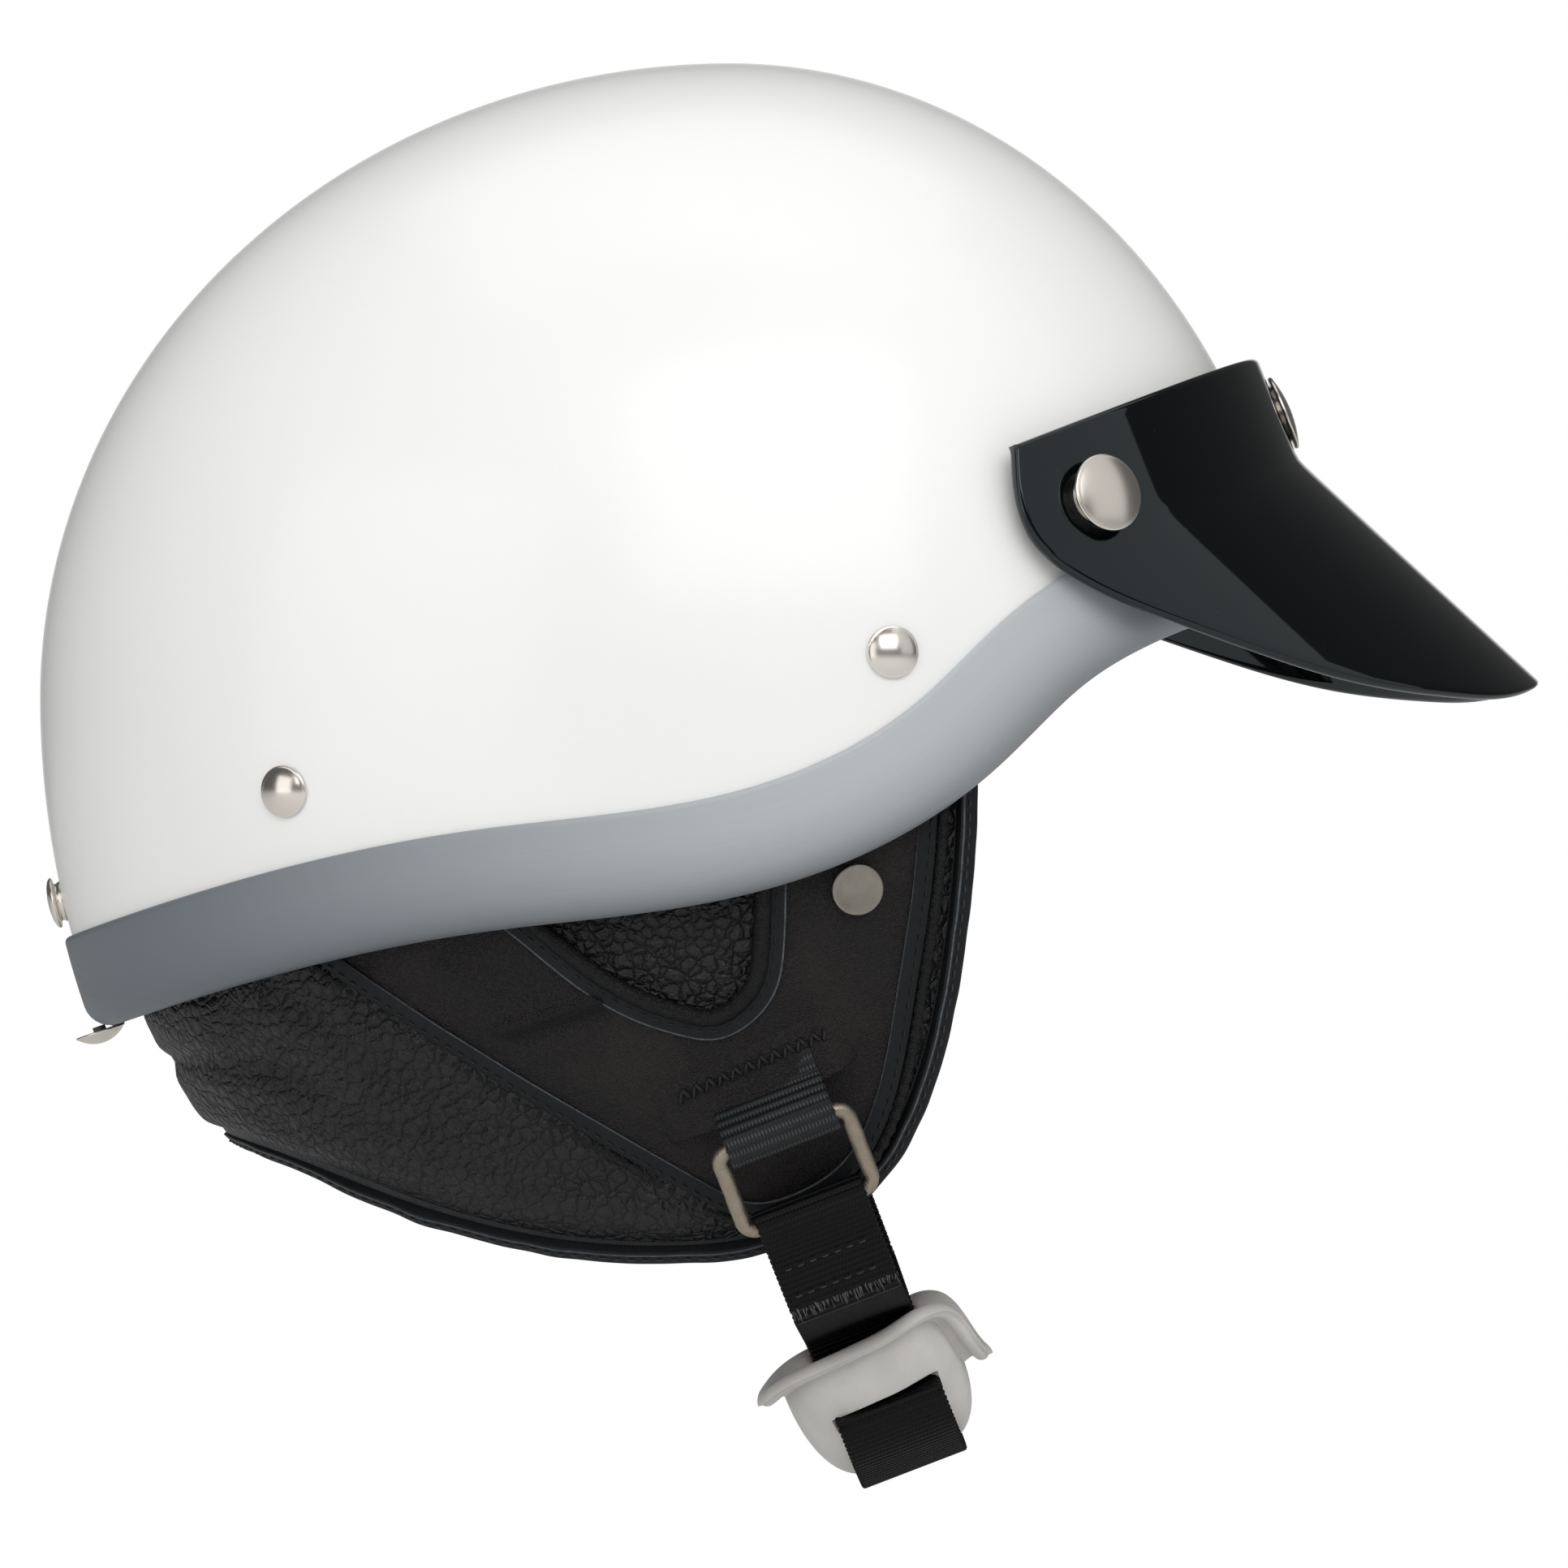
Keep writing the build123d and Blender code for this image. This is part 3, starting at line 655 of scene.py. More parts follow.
def webbing(name, rib_width, dark, pale, shine):
    """Ribbed webbing: ribs across it, with a row of small floats between them."""
    f = Finish(name, IOR=1.5, Specular_IOR_Level=shine)
    along, across = f.flat_spot()
    rib = (along * (2 * np.pi / rib_width)).work("COSINE") * 0.5 + 0.5
    row = (along / rib_width).work("FLOOR")
    wave = (across * (2 * np.pi / 0.8) + row * 2.1 + rib * 1.2).work("SINE") * 0.5 + 0.5
    floats = (1 - rib) * wave
    fuzz = f.noise(0.5, 3.0)
    tone = f.blend(fuzz * 0.4, f.blend(floats.between(0.35, 0.8), dark, pale), dark)
    return f.made(tone, 0.48 + fuzz * 0.2 - floats * 0.15, rib * 0.8 + wave * 0.35 + fuzz * 0.15, 0.28, 0.9)


def soft_rubber():
    """Soft off-white rubber, a little uneven and clouded."""
    f = Finish("cup_rubber", IOR=1.45, Subsurface_Weight=0.2, Subsurface_Scale=0.004)
    cloud = f.noise(9.0, 4.0)
    height = f.noise(4.0, 3.0) + f.noise(0.5, 2.0) * 0.15
    return f.made(f.blend(cloud, (196, 194, 189), (222, 220, 215)), 0.42 + cloud * 0.18, height, 0.12, 0.6)


def thread(name, low, high):
    """Waxed thread, a twist of lighter and darker strands."""
    f = Finish(name)
    return f.made(f.blend(f.noise(0.4, 2.0), low, high), 0.6, f.noise(0.2, 2.0), 0.08, 0.8)


def brushed_cloth():
    """Black brushed cloth with a fine knit."""
    f = Finish("lining_cloth", Sheen_Weight=0.3, Sheen_Roughness=0.4)
    knit, fuzz = f.cells(0.9, feature="F1"), f.noise(0.6, 3.0)
    tone = f.blend(knit * 0.7 + fuzz * 0.4, (30, 31, 33), (52, 54, 57))
    return f.made(tone, 0.85, knit + fuzz * 0.5, 0.25, 0.7)


def bead_foam():
    """Crushable foam with its moulded beads."""
    f = Finish("bead_foam")
    beads = f.cells(3.0).between(0.0, 0.25)
    return f.made(f.blend(beads, (38, 39, 41), (62, 63, 66)), 0.8, beads, 0.2, 0.7)


shell_finish = white_lacquer()
peak_finish = black_gloss()
trim_finish = trim_rubber()
bright_nickel = nickel("bright_nickel", (240, 234, 226), 0.24)
satin_nickel = nickel("satin_nickel", (240, 233, 224), 0.22)
old_nickel = pitted_nickel("old_nickel", (168, 162, 152), 0.34, 0.04, 0.9)
cast_nickel = pitted_nickel("cast_nickel", (186, 174, 158), 0.36, 0.16, 0.55)
grain_finish = grained_leather()
panel_finish = smooth_leather("panel_leather", (14, 12, 12), (28, 24, 23), 0.45)
plain_leather = smooth_leather("plain_leather", (6, 7, 8), (15, 16, 18))
edge_finish = edge_leather()
strap_finish = webbing("strap_webbing", strap_rib, (4, 4, 5), (16, 18, 20), 0.2)
loop_finish = webbing("loop_webbing", loop_rib, (9, 11, 13), (54, 62, 68), 0.45)
cup_finish = soft_rubber()
black_thread = thread("black_thread", (4, 4, 5), (14, 14, 15))
worn_thread = thread("worn_thread", (22, 23, 24), (52, 54, 56))
frayed_thread = thread("frayed_thread", (64, 65, 66), (118, 119, 118))
cloth_finish = brushed_cloth()
foam_finish = bead_foam()


# Shell, trim and fittings

full_turn = np.linspace(0, 2 * np.pi, 361)


def dome(inset, line, steps=120):
    """Rows from the crown down to a side view line, on the egg drawn in by inset, in equal steps of
    the angle from the crown."""
    low = meet(full_turn, line, inset)[:, 2]
    height = np.where(low > 0, crown_height, skirt_depth) - inset
    angle = np.arccos(low / height)[:, None] * np.linspace(0, 1, steps)
    tall = np.where(np.cos(angle) > 0, crown_height, skirt_depth) - inset
    reach = np.where(np.cos(full_turn) > 0, front_reach, rear_reach)[:, None] - inset
    x = reach * np.sin(angle) * np.cos(full_turn)[:, None]
    y = (half_width - inset) * np.sin(angle) * np.sin(full_turn)[:, None]
    return np.stack([x, y, tall * np.cos(angle)], -1)


def shell_skin():
    """The shell: its outer dome, its edge inside the trim and its inner dome."""
    line = side_line(rim_shares, trim_half_height - shell_wall)
    rows = np.concatenate([dome(0.0, line), dome(shell_wall, line)[:, ::-1]], 1)
    add("shell_skin", [grid(rows)], shell_finish, "shell")


def rim_trim():
    """The rubber channel: a rounded profile carried round the rim, and the joint at its back."""
    corners = [(11.2, 0.06), (11.2, 1.9), (-11.2, 2.4), (-11.2, -6.2), (0.0, -6.2), (0.0, -4.06),
               (-7.0, -4.06), (-7.0, 0.06)]
    loop = rounded_loop(corners, [0.25, 1.3, 6.0, 2.4, 0.9, 0.5, 0.3, 0.3], 8)
    long_side = np.linspace(loop[15], loop[16], 8)[1:-1]
    loop = np.concatenate([loop[:16], long_side, loop[16:]])
    turn = np.linspace(np.pi, 3 * np.pi, 721)
    points = np.stack([round_rim(turn, height, -proud) for height, proud in loop], 1)
    uv = across_and_along(lengths_along(points[:, 0]), lengths_along(loop))
    add("rim_trim", [grid(points, uv)], trim_finish, "edge_trim")
    wire = rounded_loop([(-0.35, -0.35), (0.35, -0.35), (0.35, 0.12), (-0.35, 0.12)], [0.1] * 4, 3)
    seam = points[0, :60]
    joint = carried(wire, seam, np.tile((-1.0, 0.0, 0.0), (len(seam), 1)))
    add("trim_joint", [joint], trim_finish)


def side_seat(shares, facing, inset=0.0, depth=skirt_depth):
    """The egg's point at side view shares of its reach and height, and the way outwards there."""
    x, z = shares
    flat = x * (front_reach if x > 0 else rear_reach), z * (crown_height if z > 0 else skirt_depth)
    point = on_side(flat, facing, 0.0, inset, depth)
    return point, unit(point / egg_sizes(point, inset, depth) ** 2)


def fittings():
    """The strap rivets, the rear stud, the trim's rivet and the curtain's snaps."""
    for end, shares, finish in zip(("front", "rear"), rivet_shares, (bright_nickel, satin_nickel)):
        seats = [side_seat(shares, facing) for _, facing in SIDES]
        heads = [turned(domed_head(*rivet_head), seat + axis * 0.1, axis, 96) for seat, axis in seats]
        add(f"{end}_rivet_heads", heads, finish, "strap_rivets")
    z = rear_stud_share * skirt_depth
    seat = in_middle((-rear_reach * np.sqrt(1 - (z / skirt_depth) ** 2), z))
    necked = [(0.0, 3.6), (2.0, 3.55), (4.0, 3.2), (5.3, 2.7), (5.8, 2.2), (5.8, 1.9), (5.4, 1.6), (4.4, 1.5),
              (4.2, 1.0), (4.6, 0.4), (4.7, -0.3), (0.0, -0.3)]
    add("goggle_stud", [turned(necked, seat, outward(seat))], satin_nickel, "rear_stud")
    line = side_line(rim_shares, trim_half_height)
    near = np.argmin(abs(line[:, 0] - trim_rivet_share * rear_reach))
    ahead = unit(np.gradient(line, axis=0))[near]
    head = turned(domed_head(*trim_head), in_middle(line[near]), in_middle(-leftward(ahead)))
    add("trim_rivet_head", [head], satin_nickel, "trim_rivet")
    dished = [(0.0, 1.15), (4.7, 1.1), (5.0, 1.25), (5.5, 1.25), (5.75, 0.95), (5.7, 0.3),
              (5.3, -0.2), (0.0, -0.2)]
    face = curtain_inset - panel_thickness
    seats = [side_seat(curtain_snap_shares, facing, face, curtain_depth) for _, facing in SIDES]
    heads = [turned(dished, seat + axis * 0.2, axis, 72) for seat, axis in seats]
    add("curtain_snap_heads", heads, old_nickel, "curtain_snaps")


# Peak

def tilted(points, tilt, origin=(0.0, 0.0, 0.0)):
    """Points of a frame turned back about Y by so many degrees, moved to their origin."""
    c, s = np.cos(np.radians(tilt)), np.sin(np.radians(tilt))
    x, y, z = points[..., 0], points[..., 1], points[..., 2]
    return np.stack([x * c - z * s, y, x * s + z * c], -1) + np.asarray(origin, float)


def peak_place(points):
    """Points of the peak's own frame brought to the part's frame."""
    return tilted(points, peak_tilt, (0.0, 0.0, peak_lift))


def peak_point(angle, drop, depth):
    """A point of the peak: an ellipse that keeps its size down the band and then flares, so far in
    from its outer face, tilted back and lifted."""
    soft, below = 1.2, drop - band_height
    share = (below + np.sqrt(below**2 + soft**2)) / 2 / bill_height
    reach = band_reach + (bill_reach - band_reach) * share - depth
    across = band_half_width + (bill_half_width - band_half_width) * share - depth
    return peak_place(np.stack([reach * np.cos(angle), across * np.sin(angle), -drop], -1))


def peak_edge():
    """The cut edge of one half, as angle and drop: from the band's rear corner to the bill's middle."""
    line = side_line(peak_shares, 0.0, 3000)
    c, s = np.cos(np.radians(peak_tilt)), np.sin(np.radians(peak_tilt))
    x, z = line[:, 0], line[:, 1] - peak_lift
    ahead, drop = x * c + z * s, x * s - z * c
    reach = band_reach + (bill_reach - band_reach) * np.clip((drop - band_height) / bill_height, 0, None)
    keep = (drop > 0) & (ahead < reach)
    angle = np.append(np.arccos(ahead[keep] / reach[keep]), 0.0)
    drop = np.append(drop[keep], drop[keep][-1])
    flat = spaced(np.stack([angle * band_reach, drop], -1), 260)
    return flat[:, 0] / band_reach, flat[:, 1]


def peak_visor():
    """The peak: rows between its top edge and its cut edge, over the outer face, round the edge and
    back over the inner face."""
    angle, drop = peak_edge()
    angle = np.concatenate([angle, -angle[-2::-1]])
    drop = np.concatenate([drop, drop[-2::-1]])
    top = np.linspace(angle[0], angle[-1], len(angle))
    radius = peak_wall / 2
    long = np.hypot((top - angle) * band_reach, drop)
    edge = np.minimum(radius / np.maximum(long, 1e-6), 0.5)[:, None]
    arc = np.linspace(0, np.pi, 9)
    cut, deep = 1 - np.sin(arc), radius * (1 - np.cos(arc))
    low, high = 1 - edge * cut, edge * cut[::-1]
    step = np.linspace(0, 1, 50)[1:-1]
    outer = high[:, -1:] + (low[:, :1] - high[:, -1:]) * step
    inner = low[:, -1:] + (high[:, :1] - low[:, -1:]) * step
    share = np.concatenate([outer, low, inner, high, outer[:, :1]], 1)
    flat = np.zeros(len(step))
    depth = np.concatenate([flat, deep, flat + peak_wall, deep[::-1], flat[:1]])
    around = top[:, None] + (angle - top)[:, None] * share
    points = peak_point(around, drop[:, None] * share, depth)
    add("peak_visor", [grid(points)], peak_finish, "peak", "peak")


def peak_snaps():
    """The three caps: a domed head over a barrel with a sprung, ribbed ring. The front one sits close."""
    heads, barrels = [], []
    ribs = np.linspace(0, 1, 33)
    foot = [(3.6, -0.2), (3.6, -2.8), (0.0, -2.8)]
    for facing in (0, RIGHT, LEFT):
        x = side_snap_forward if facing else band_reach
        y = facing * band_half_width * np.sqrt(1 - (x / band_reach) ** 2)
        drop, lift = (side_snap_drop, side_cap_lift) if facing else (front_snap_drop, front_cap_lift)
        seat = peak_place(np.array([x, y, -drop]))
        axis = tilted(unit(np.array([x / band_reach**2, y / band_half_width**2, 0.0])), peak_tilt)
        heads.append(turned(domed_head(*cap_head), seat + axis * lift, axis, 96))
        wall = np.stack([barrel_radius + 0.4 * np.cos(ribs * 10 * np.pi), lift - ribs * (lift + 0.2)], -1)
        barrels.append(turned(np.concatenate([[(0.0, lift)], wall, foot]), seat, axis, 48))
    add("peak_snap_caps", heads, satin_nickel, "snap_caps", "peak")
    add("peak_snap_barrels", barrels, satin_nickel, body="peak")


# Leather curtain

# Creases in a panel: both ends in the side view, width and height
creases = (
    ((-50.0, -73.0), (-28.0, -66.0), 1.5, 2.0), ((-62.0, -60.0), (-50.0, -64.0), 1.4, 1.0),
    ((-47.0, -76.0), (-27.0, -69.5), 1.2, -1.0), ((20.0, -100.0), (34.0, -82.0), 2.2, 0.35),
)
# What is sewn along a panel's two outlines: names, points, the path's unevenness, then the strip's start,
# width, thickness and lift, the place, lift and gap of its stitches, and the roll's place, lift, radius,
# pucker and length of one pucker. Places are across the outline, towards the curtain's hem
sewn_edges = (
    (("outer_strip", "panel_strip", "strip_stitches", "welt"), panel_shares, 360, 0.12,
     (0.0, 4.4, 1.3, 0.7), (3.0, 1.95, 1.0), (5.9, 0.9, 1.35, 0.16, 3.1)),
    (("window_flange", "ear_piping", "window_stitches", "piping_roll"), window_shares, 300, 0.0,
     (0.2, -3.6, 0.9, 1.2), (-2.0, 2.05, 1.1), (-4.9, 1.2, 2.0, 0.05, 4.3)),
)


def half_outline(shares, shift=0.0, rear_close=False):
    """The right half of a side view outline as points on the curtain's egg, rear to front."""
    line = side_line(shares, shift, 3000)
    points = in_middle(line)
    inside = ((points / egg_sizes(points, curtain_inset, curtain_depth)) ** 2).sum(-1) < 1
    points = on_side(line[inside], RIGHT)
    if rear_close:
        points = np.concatenate([on_curtain(points[:1] * (1, 0, 1))[0], points])
    return points


def both_sides(points):
    """A rear to front run on the right carried round the back to the left."""
    return np.concatenate([points[::-1], points[1:] * (1, -1, 1)])


def flip(points, facing):
    """Right hand points, or their mirror on the left."""
    return points * (1, -facing, 1)


def sideways(path, out):
    """The way across a path that lies on a surface, to its right as seen from outside."""
    return unit(np.cross(unit(np.gradient(path, axis=0)), out))


def pillow_edge(low, high, share):
    """How far each point of a loft is from the nearer of its two runs."""
    return np.minimum(share, 1 - share) * np.linalg.norm(high - low, axis=1)[:, None]


def rim_under(count):
    """The right half of the curtain's top, hidden under the trim, from the rear to the front."""
    turn = np.linspace(np.pi, np.radians(64), count)
    return meet(turn, side_line(rim_shares, -4.0), curtain_inset, curtain_depth) * (1, -1, 1)


def neck_pad():
    """The grained leather: a pillow between the hem and the panels' seams, with folds at the nape."""
    split = -100.0
    hem, seam = half_outline(curtain_shares, -hem_width, True), half_outline(panel_shares, 2.0)
    top = rim_under(400)
    cut = np.argmin(abs(hem[:, 0] - split))
    start = np.argmin(np.linalg.norm(seam - top[np.argmin(abs(top[:, 0] - split))], axis=1))
    rear = np.concatenate([top[top[:, 0] < split], seam[start:start + 1]])
    runs = (hem[:cut + 1], hem[cut:]), (rear, seam[start:])
    low, high = (both_sides(np.concatenate([spaced(a, 70), spaced(b, 150)[1:]])) for a, b in runs)
    share = eased(48)
    base, out = on_curtain(loft(low, high, share))
    nape = 1 / (1 + np.exp((base[..., 0] + 88) / 6))
    puff = 1 - np.exp(-pillow_edge(low, high, share) / (2.0 + 4.0 * (1 - share) * (1 - nape)))
    tall = 1.4 + 1.6 * np.clip(np.linalg.norm(high - low, axis=1)[:, None] / 60, 0, 1)
    fold = np.exp(-((share - 0.40) / 0.06) ** 2) + 0.7 * np.exp(-((share - 0.74) / 0.05) ** 2)
    soft = ripples(base * (0.5, 0.5, 1.0), 17.0, 3) * 0.62 + ripples(base * (0.5, 0.5, 1.0), 6.5, 5) * 0.22
    rise = puff * (tall * (1 - 0.4 * nape) + soft * (1 - 0.5 * nape) - fold * nape * 1.6 + nape * 0.5)
    grids = [wrapped(base + out * rise[..., None], base - out * 0.6)]
    add("neck_pad", grids, grain_finish, "neck_curtain")


def curtain_core():
    """The curtain's inner layer: a slab from the hem up to the trim, behind the pads and panels."""
    hem, top = both_sides(spaced(half_outline(curtain_shares, -1.2, True), 200)), both_sides(rim_under(200))
    outer, out = on_curtain(loft(hem, top, np.linspace(0, 1, 30)), curtain_inset + 0.5)
    thick = curtain_thickness - 0.9 + 0.5 * ripples(outer, 22.0, 9)
    grids = [wrapped(outer, outer - out * thick[..., None])]
    add("curtain_lining", grids, cloth_finish, "neck_curtain")


def curtain_hem():
    """The folded strip that wraps the curtain's edge: a flat face outside, a round edge and a face
    inside, carried along the whole outline, with its row of stitches."""
    path = spaced(both_sides(half_outline(curtain_shares, 0.0, True)), 620)
    out = outward(path, curtain_depth)
    corners = [(hem_width, 1.9), (0.1, 1.2), (0.1, -4.6), (hem_width, -5.0)]
    loop = rounded_loop(corners, [0.3, 2.6, 2.6, 0.4], 8)
    wave = (ripples(path, 11.0, 12) * 0.18 - 1.7 / (1 + np.exp((path[:, 0] + 90) / 6)))[:, None]
    strip = carried(loop, path + out * wave, out)
    add("curtain_hem", [strip], edge_finish, "curtain_binding")
    row = path + sideways(path, out) * 3.0 + out * (1.6 + wave)
    add("hem_stitches", [stitch_row(row, out, *hem_stitch)], worn_thread)


def crease_at(points, start, end, width, height):
    """A ridge of so much height along a side view line, fading away from it and past its ends."""
    spot, way = points[..., ::2] - start, np.subtract(end, start)
    share = np.clip(spot @ way / (way @ way), 0, 1)
    return height * np.exp(-(np.linalg.norm(spot - share[..., None] * way, axis=-1) / width) ** 1.4)


def smooth_panel(side, facing):
    """The smooth leather between the window and the panel's outline, creased and a little uneven."""
    runs = ((window_shares, -0.5), (panel_shares, 1.0))
    inner, outer = (spaced(half_outline(shares, shift), 260) for shares, shift in runs)
    sheet, out = on_curtain(loft(inner, outer, np.linspace(0, 1, 60)))
    rise = 1.1 + sum(crease_at(sheet, *crease) for crease in creases) + ripples(sheet, 24.0, 21) * 0.22
    grids = [grid(flip(sheet + out * rise[..., None], facing))]
    node = f"{side}_side_panel"
    thicken(add(f"{side}_smooth_panel", grids, panel_finish, node, centre=neck_middle), 1.1)


def sewn_edge(side, facing, names, shares, count, uneven, strip, stitches, roll):
    """What is sewn along one outline of a panel: a flat strip with its cut edge on the outline, its
    stitches and a puckered roll of leather beside it."""
    strip_name, node, stitches_name, roll_name = (f"{side}_{name}" for name in names)
    path = spaced(half_outline(shares), count)
    out = outward(path, curtain_depth)
    path, out = flip(path + out * (ripples(path, 14.0, 31) * uneven)[:, None], facing), flip(out, facing)
    across = sideways(path, out) * -facing
    start, width, thick, lift = strip
    far = -facing * width
    corners = [(0.0, lift), (0.0, lift + thick), (far, lift + thick * 0.9), (far, lift)]
    flat = carried(rounded_loop(corners, [0.12, 0.3, 0.45, 0.2], 5), path + across * start, out)
    add(strip_name, [flat], edge_finish, node)
    place, lift, gap = stitches
    row = stitch_row(path + across * place + out * lift, out, panel_stitch_length, gap, panel_stitch_radius)
    add(stitches_name, [row], black_thread)
    place, lift, radius, pucker, length = roll
    girth = 1 + pucker * np.sin(lengths_along(path) * 2 * np.pi / length)
    tube = carried(circle(14) * radius, path + across * place + out * lift, out, girth)
    add(roll_name, [tube], plain_leather)


def window_pad(side, facing):
    """The grained pad that shows in a panel's window."""
    low = spaced(half_outline(window_shares, -3.2), 160)
    high, share = np.linspace(low[0], low[-1], 160), eased(44)
    base, out = on_curtain(loft(low, high, share))
    rise = (1 - np.exp(-pillow_edge(low, high, share) / 5.0)) * (1.1 + ripples(base, 9.0, 41) * 0.2)
    grids = [wrapped(flip(base + out * rise[..., None], facing), flip(base - out * 0.5, facing))]
    add(f"{side}_window_pad", grids, grain_finish, f"{side}_ear_pad")


def slit_and_zigzag(side, facing):
    """The slit in a panel: the lip of leather that the webbing lifts, and its zigzag stitches."""
    start, end = np.array(slit_ends)
    along, up = np.linspace(0, 1, 70)[:, None], np.linspace(0, 1, 30)[None]
    flat = start + (end - start) * along[..., None] + leftward(unit(end - start)) * up[..., None] * lip_reach
    hump = 1 / (1 + ((along - 0.54) / 0.36) ** 8)
    ends = np.clip(np.minimum(along, 1 - along) / 0.16, 0, 1)
    upper = np.clip((1 - up) / 0.35, 0, 1)
    lift = 0.2 + ends * (3 - 2 * ends) * upper**2 * (3 - 2 * upper) * (1.5 + hump * 3.3 * (1 - up) ** 2)
    grids = [grid(on_side(flat, facing, lift))]
    thicken(add(f"{side}_slit_lip", grids, panel_finish, centre=neck_middle), 0.9)
    start, end = np.array(zigzag_ends)
    zig = np.linspace(start, end, 24)
    zig[1::2] += leftward(unit(end - start)) * zigzag_step
    rows = []
    for a, b in zip(zig, zig[1:]):
        some = on_side(np.linspace(a - (b - a) / 2, b + (b - a) / 2, 9), facing, 2.45)
        length = lengths_along(some)[-1] * 0.47
        rows.append(stitch_row(some, outward(some, curtain_depth), length, 0.0, zigzag_radius))
    add(f"{side}_zigzag", rows, black_thread)


# Chin strap: its flat points are (out, up) in a frame that leans back at the wearer's chin

fold_radius = ring_wire_radius + fold_gap + webbing_thickness / 2
fold_wrap = fold_radius + fold_gap
strap_clear = webbing_thickness / 2 + fold_gap
ring_lean = np.arctan2(ring_top_out - ring_bottom_out, ring_height)
ring_bar = np.array([-ring_bottom_out, -ring_height])
fold_down = np.array([np.sin(ring_lean), -np.cos(ring_lean)])
fold_out = np.array([-np.cos(ring_lean), -np.sin(ring_lean)])


def chin_place(points):
    """Points of the strap's own frame brought to the part's frame."""
    return tilted(points, chin_tilt, (chin_forward, 0.0, -chin_drop))


def on_strap(across, flat, mirror):
    """Flat points, or their mirror, put so far across the webbing."""
    return np.stack([across, mirror * flat[..., 0] + 0 * across, flat[..., 1] + 0 * across], -1)


def webbing_run(path, rib_width, lean=0.0):
    """Webbing along a path of flat points: a flat rounded section whose faces and edges swell at each
    rib. Above the ring it leans with the curtain: outwards by so much a millimetre across."""
    side = leftward(unit(np.gradient(path, axis=0)))
    half, thick = webbing_width / 2, webbing_thickness / 2
    loop = rounded_loop([(-half, -thick), (half, -thick), (half, thick), (-half, thick)], [thick * 0.9] * 4, 4)
    low = np.stack([np.linspace(-half + 1, half - 1, 9), np.full(9, -thick)], -1)
    section = np.concatenate([loop[:4], low, loop[4:12], -low, loop[12:]])
    run = lengths_along(path)[:, None]
    rib = 0.5 + 0.5 * np.cos(run * 2 * np.pi / rib_width)
    across, off = section[:, 0] * (1 + 0.022 * rib), section[:, 1] * (0.86 + 0.2 * rib)
    out, up = (path[:, None, i] + side[:, None, i] * off for i in (0, 1))
    out = out + np.sign(path[0, 0]) * lean * across * np.clip((up - 1) / 9, 0, 1)
    points, uv = end_caps(np.stack([across, out, up], -1), np.stack([run + 0 * across, across], -1))
    return grid(chin_place(points), uv)


def fold_points():
    """The strap's way round the right ring's lower bar, as in the part."""
    layer = (webbing_thickness + fold_gap) / 2
    places = (
        (layer, tail_length), (layer, fold_neck), (fold_wrap, -fold_radius),
        (-fold_wrap, -fold_radius), (-layer, fold_neck), (-layer, tail_length + fold_neck / 2),
    )
    return [ring_bar + fold_out * out + fold_down * down for out, down in places]


def cup_corner(turn):
    """A corner of the strap's way round the bowl."""
    reach = 1 / np.cos(np.radians(wrap_turn / 2))
    out = (cup_half_width + strap_clear) * np.cos(np.radians(turn)) * reach
    return np.array([-out, -cup_drop - (cup_depth + strap_clear) * np.sin(np.radians(turn)) * reach])


def slot_points():
    """The strap's way into the cup's mouth and out through its slot."""
    lip = webbing_width / 2 / (cup_half_length - cup_wall)
    inside = (cup_half_width - cup_wall) * np.sqrt(1 - lip**2)
    turn, drop = np.radians(wrap_turn), slot_bottom_drop - webbing_thickness / 2
    outside = (cup_half_width + strap_clear) / np.cos(turn)
    outside *= 1 - drop * np.sin(turn) / (cup_depth + strap_clear)
    places = (
        (29.5, 48.6), (inside - 3.5 * strap_clear, cup_drop + 0.8),
        (inside - 4.5 * strap_clear, cup_drop + slot_top_drop + 2 * strap_clear), (outside, cup_drop + drop),
    )
    return [-np.array(place) for place in places]


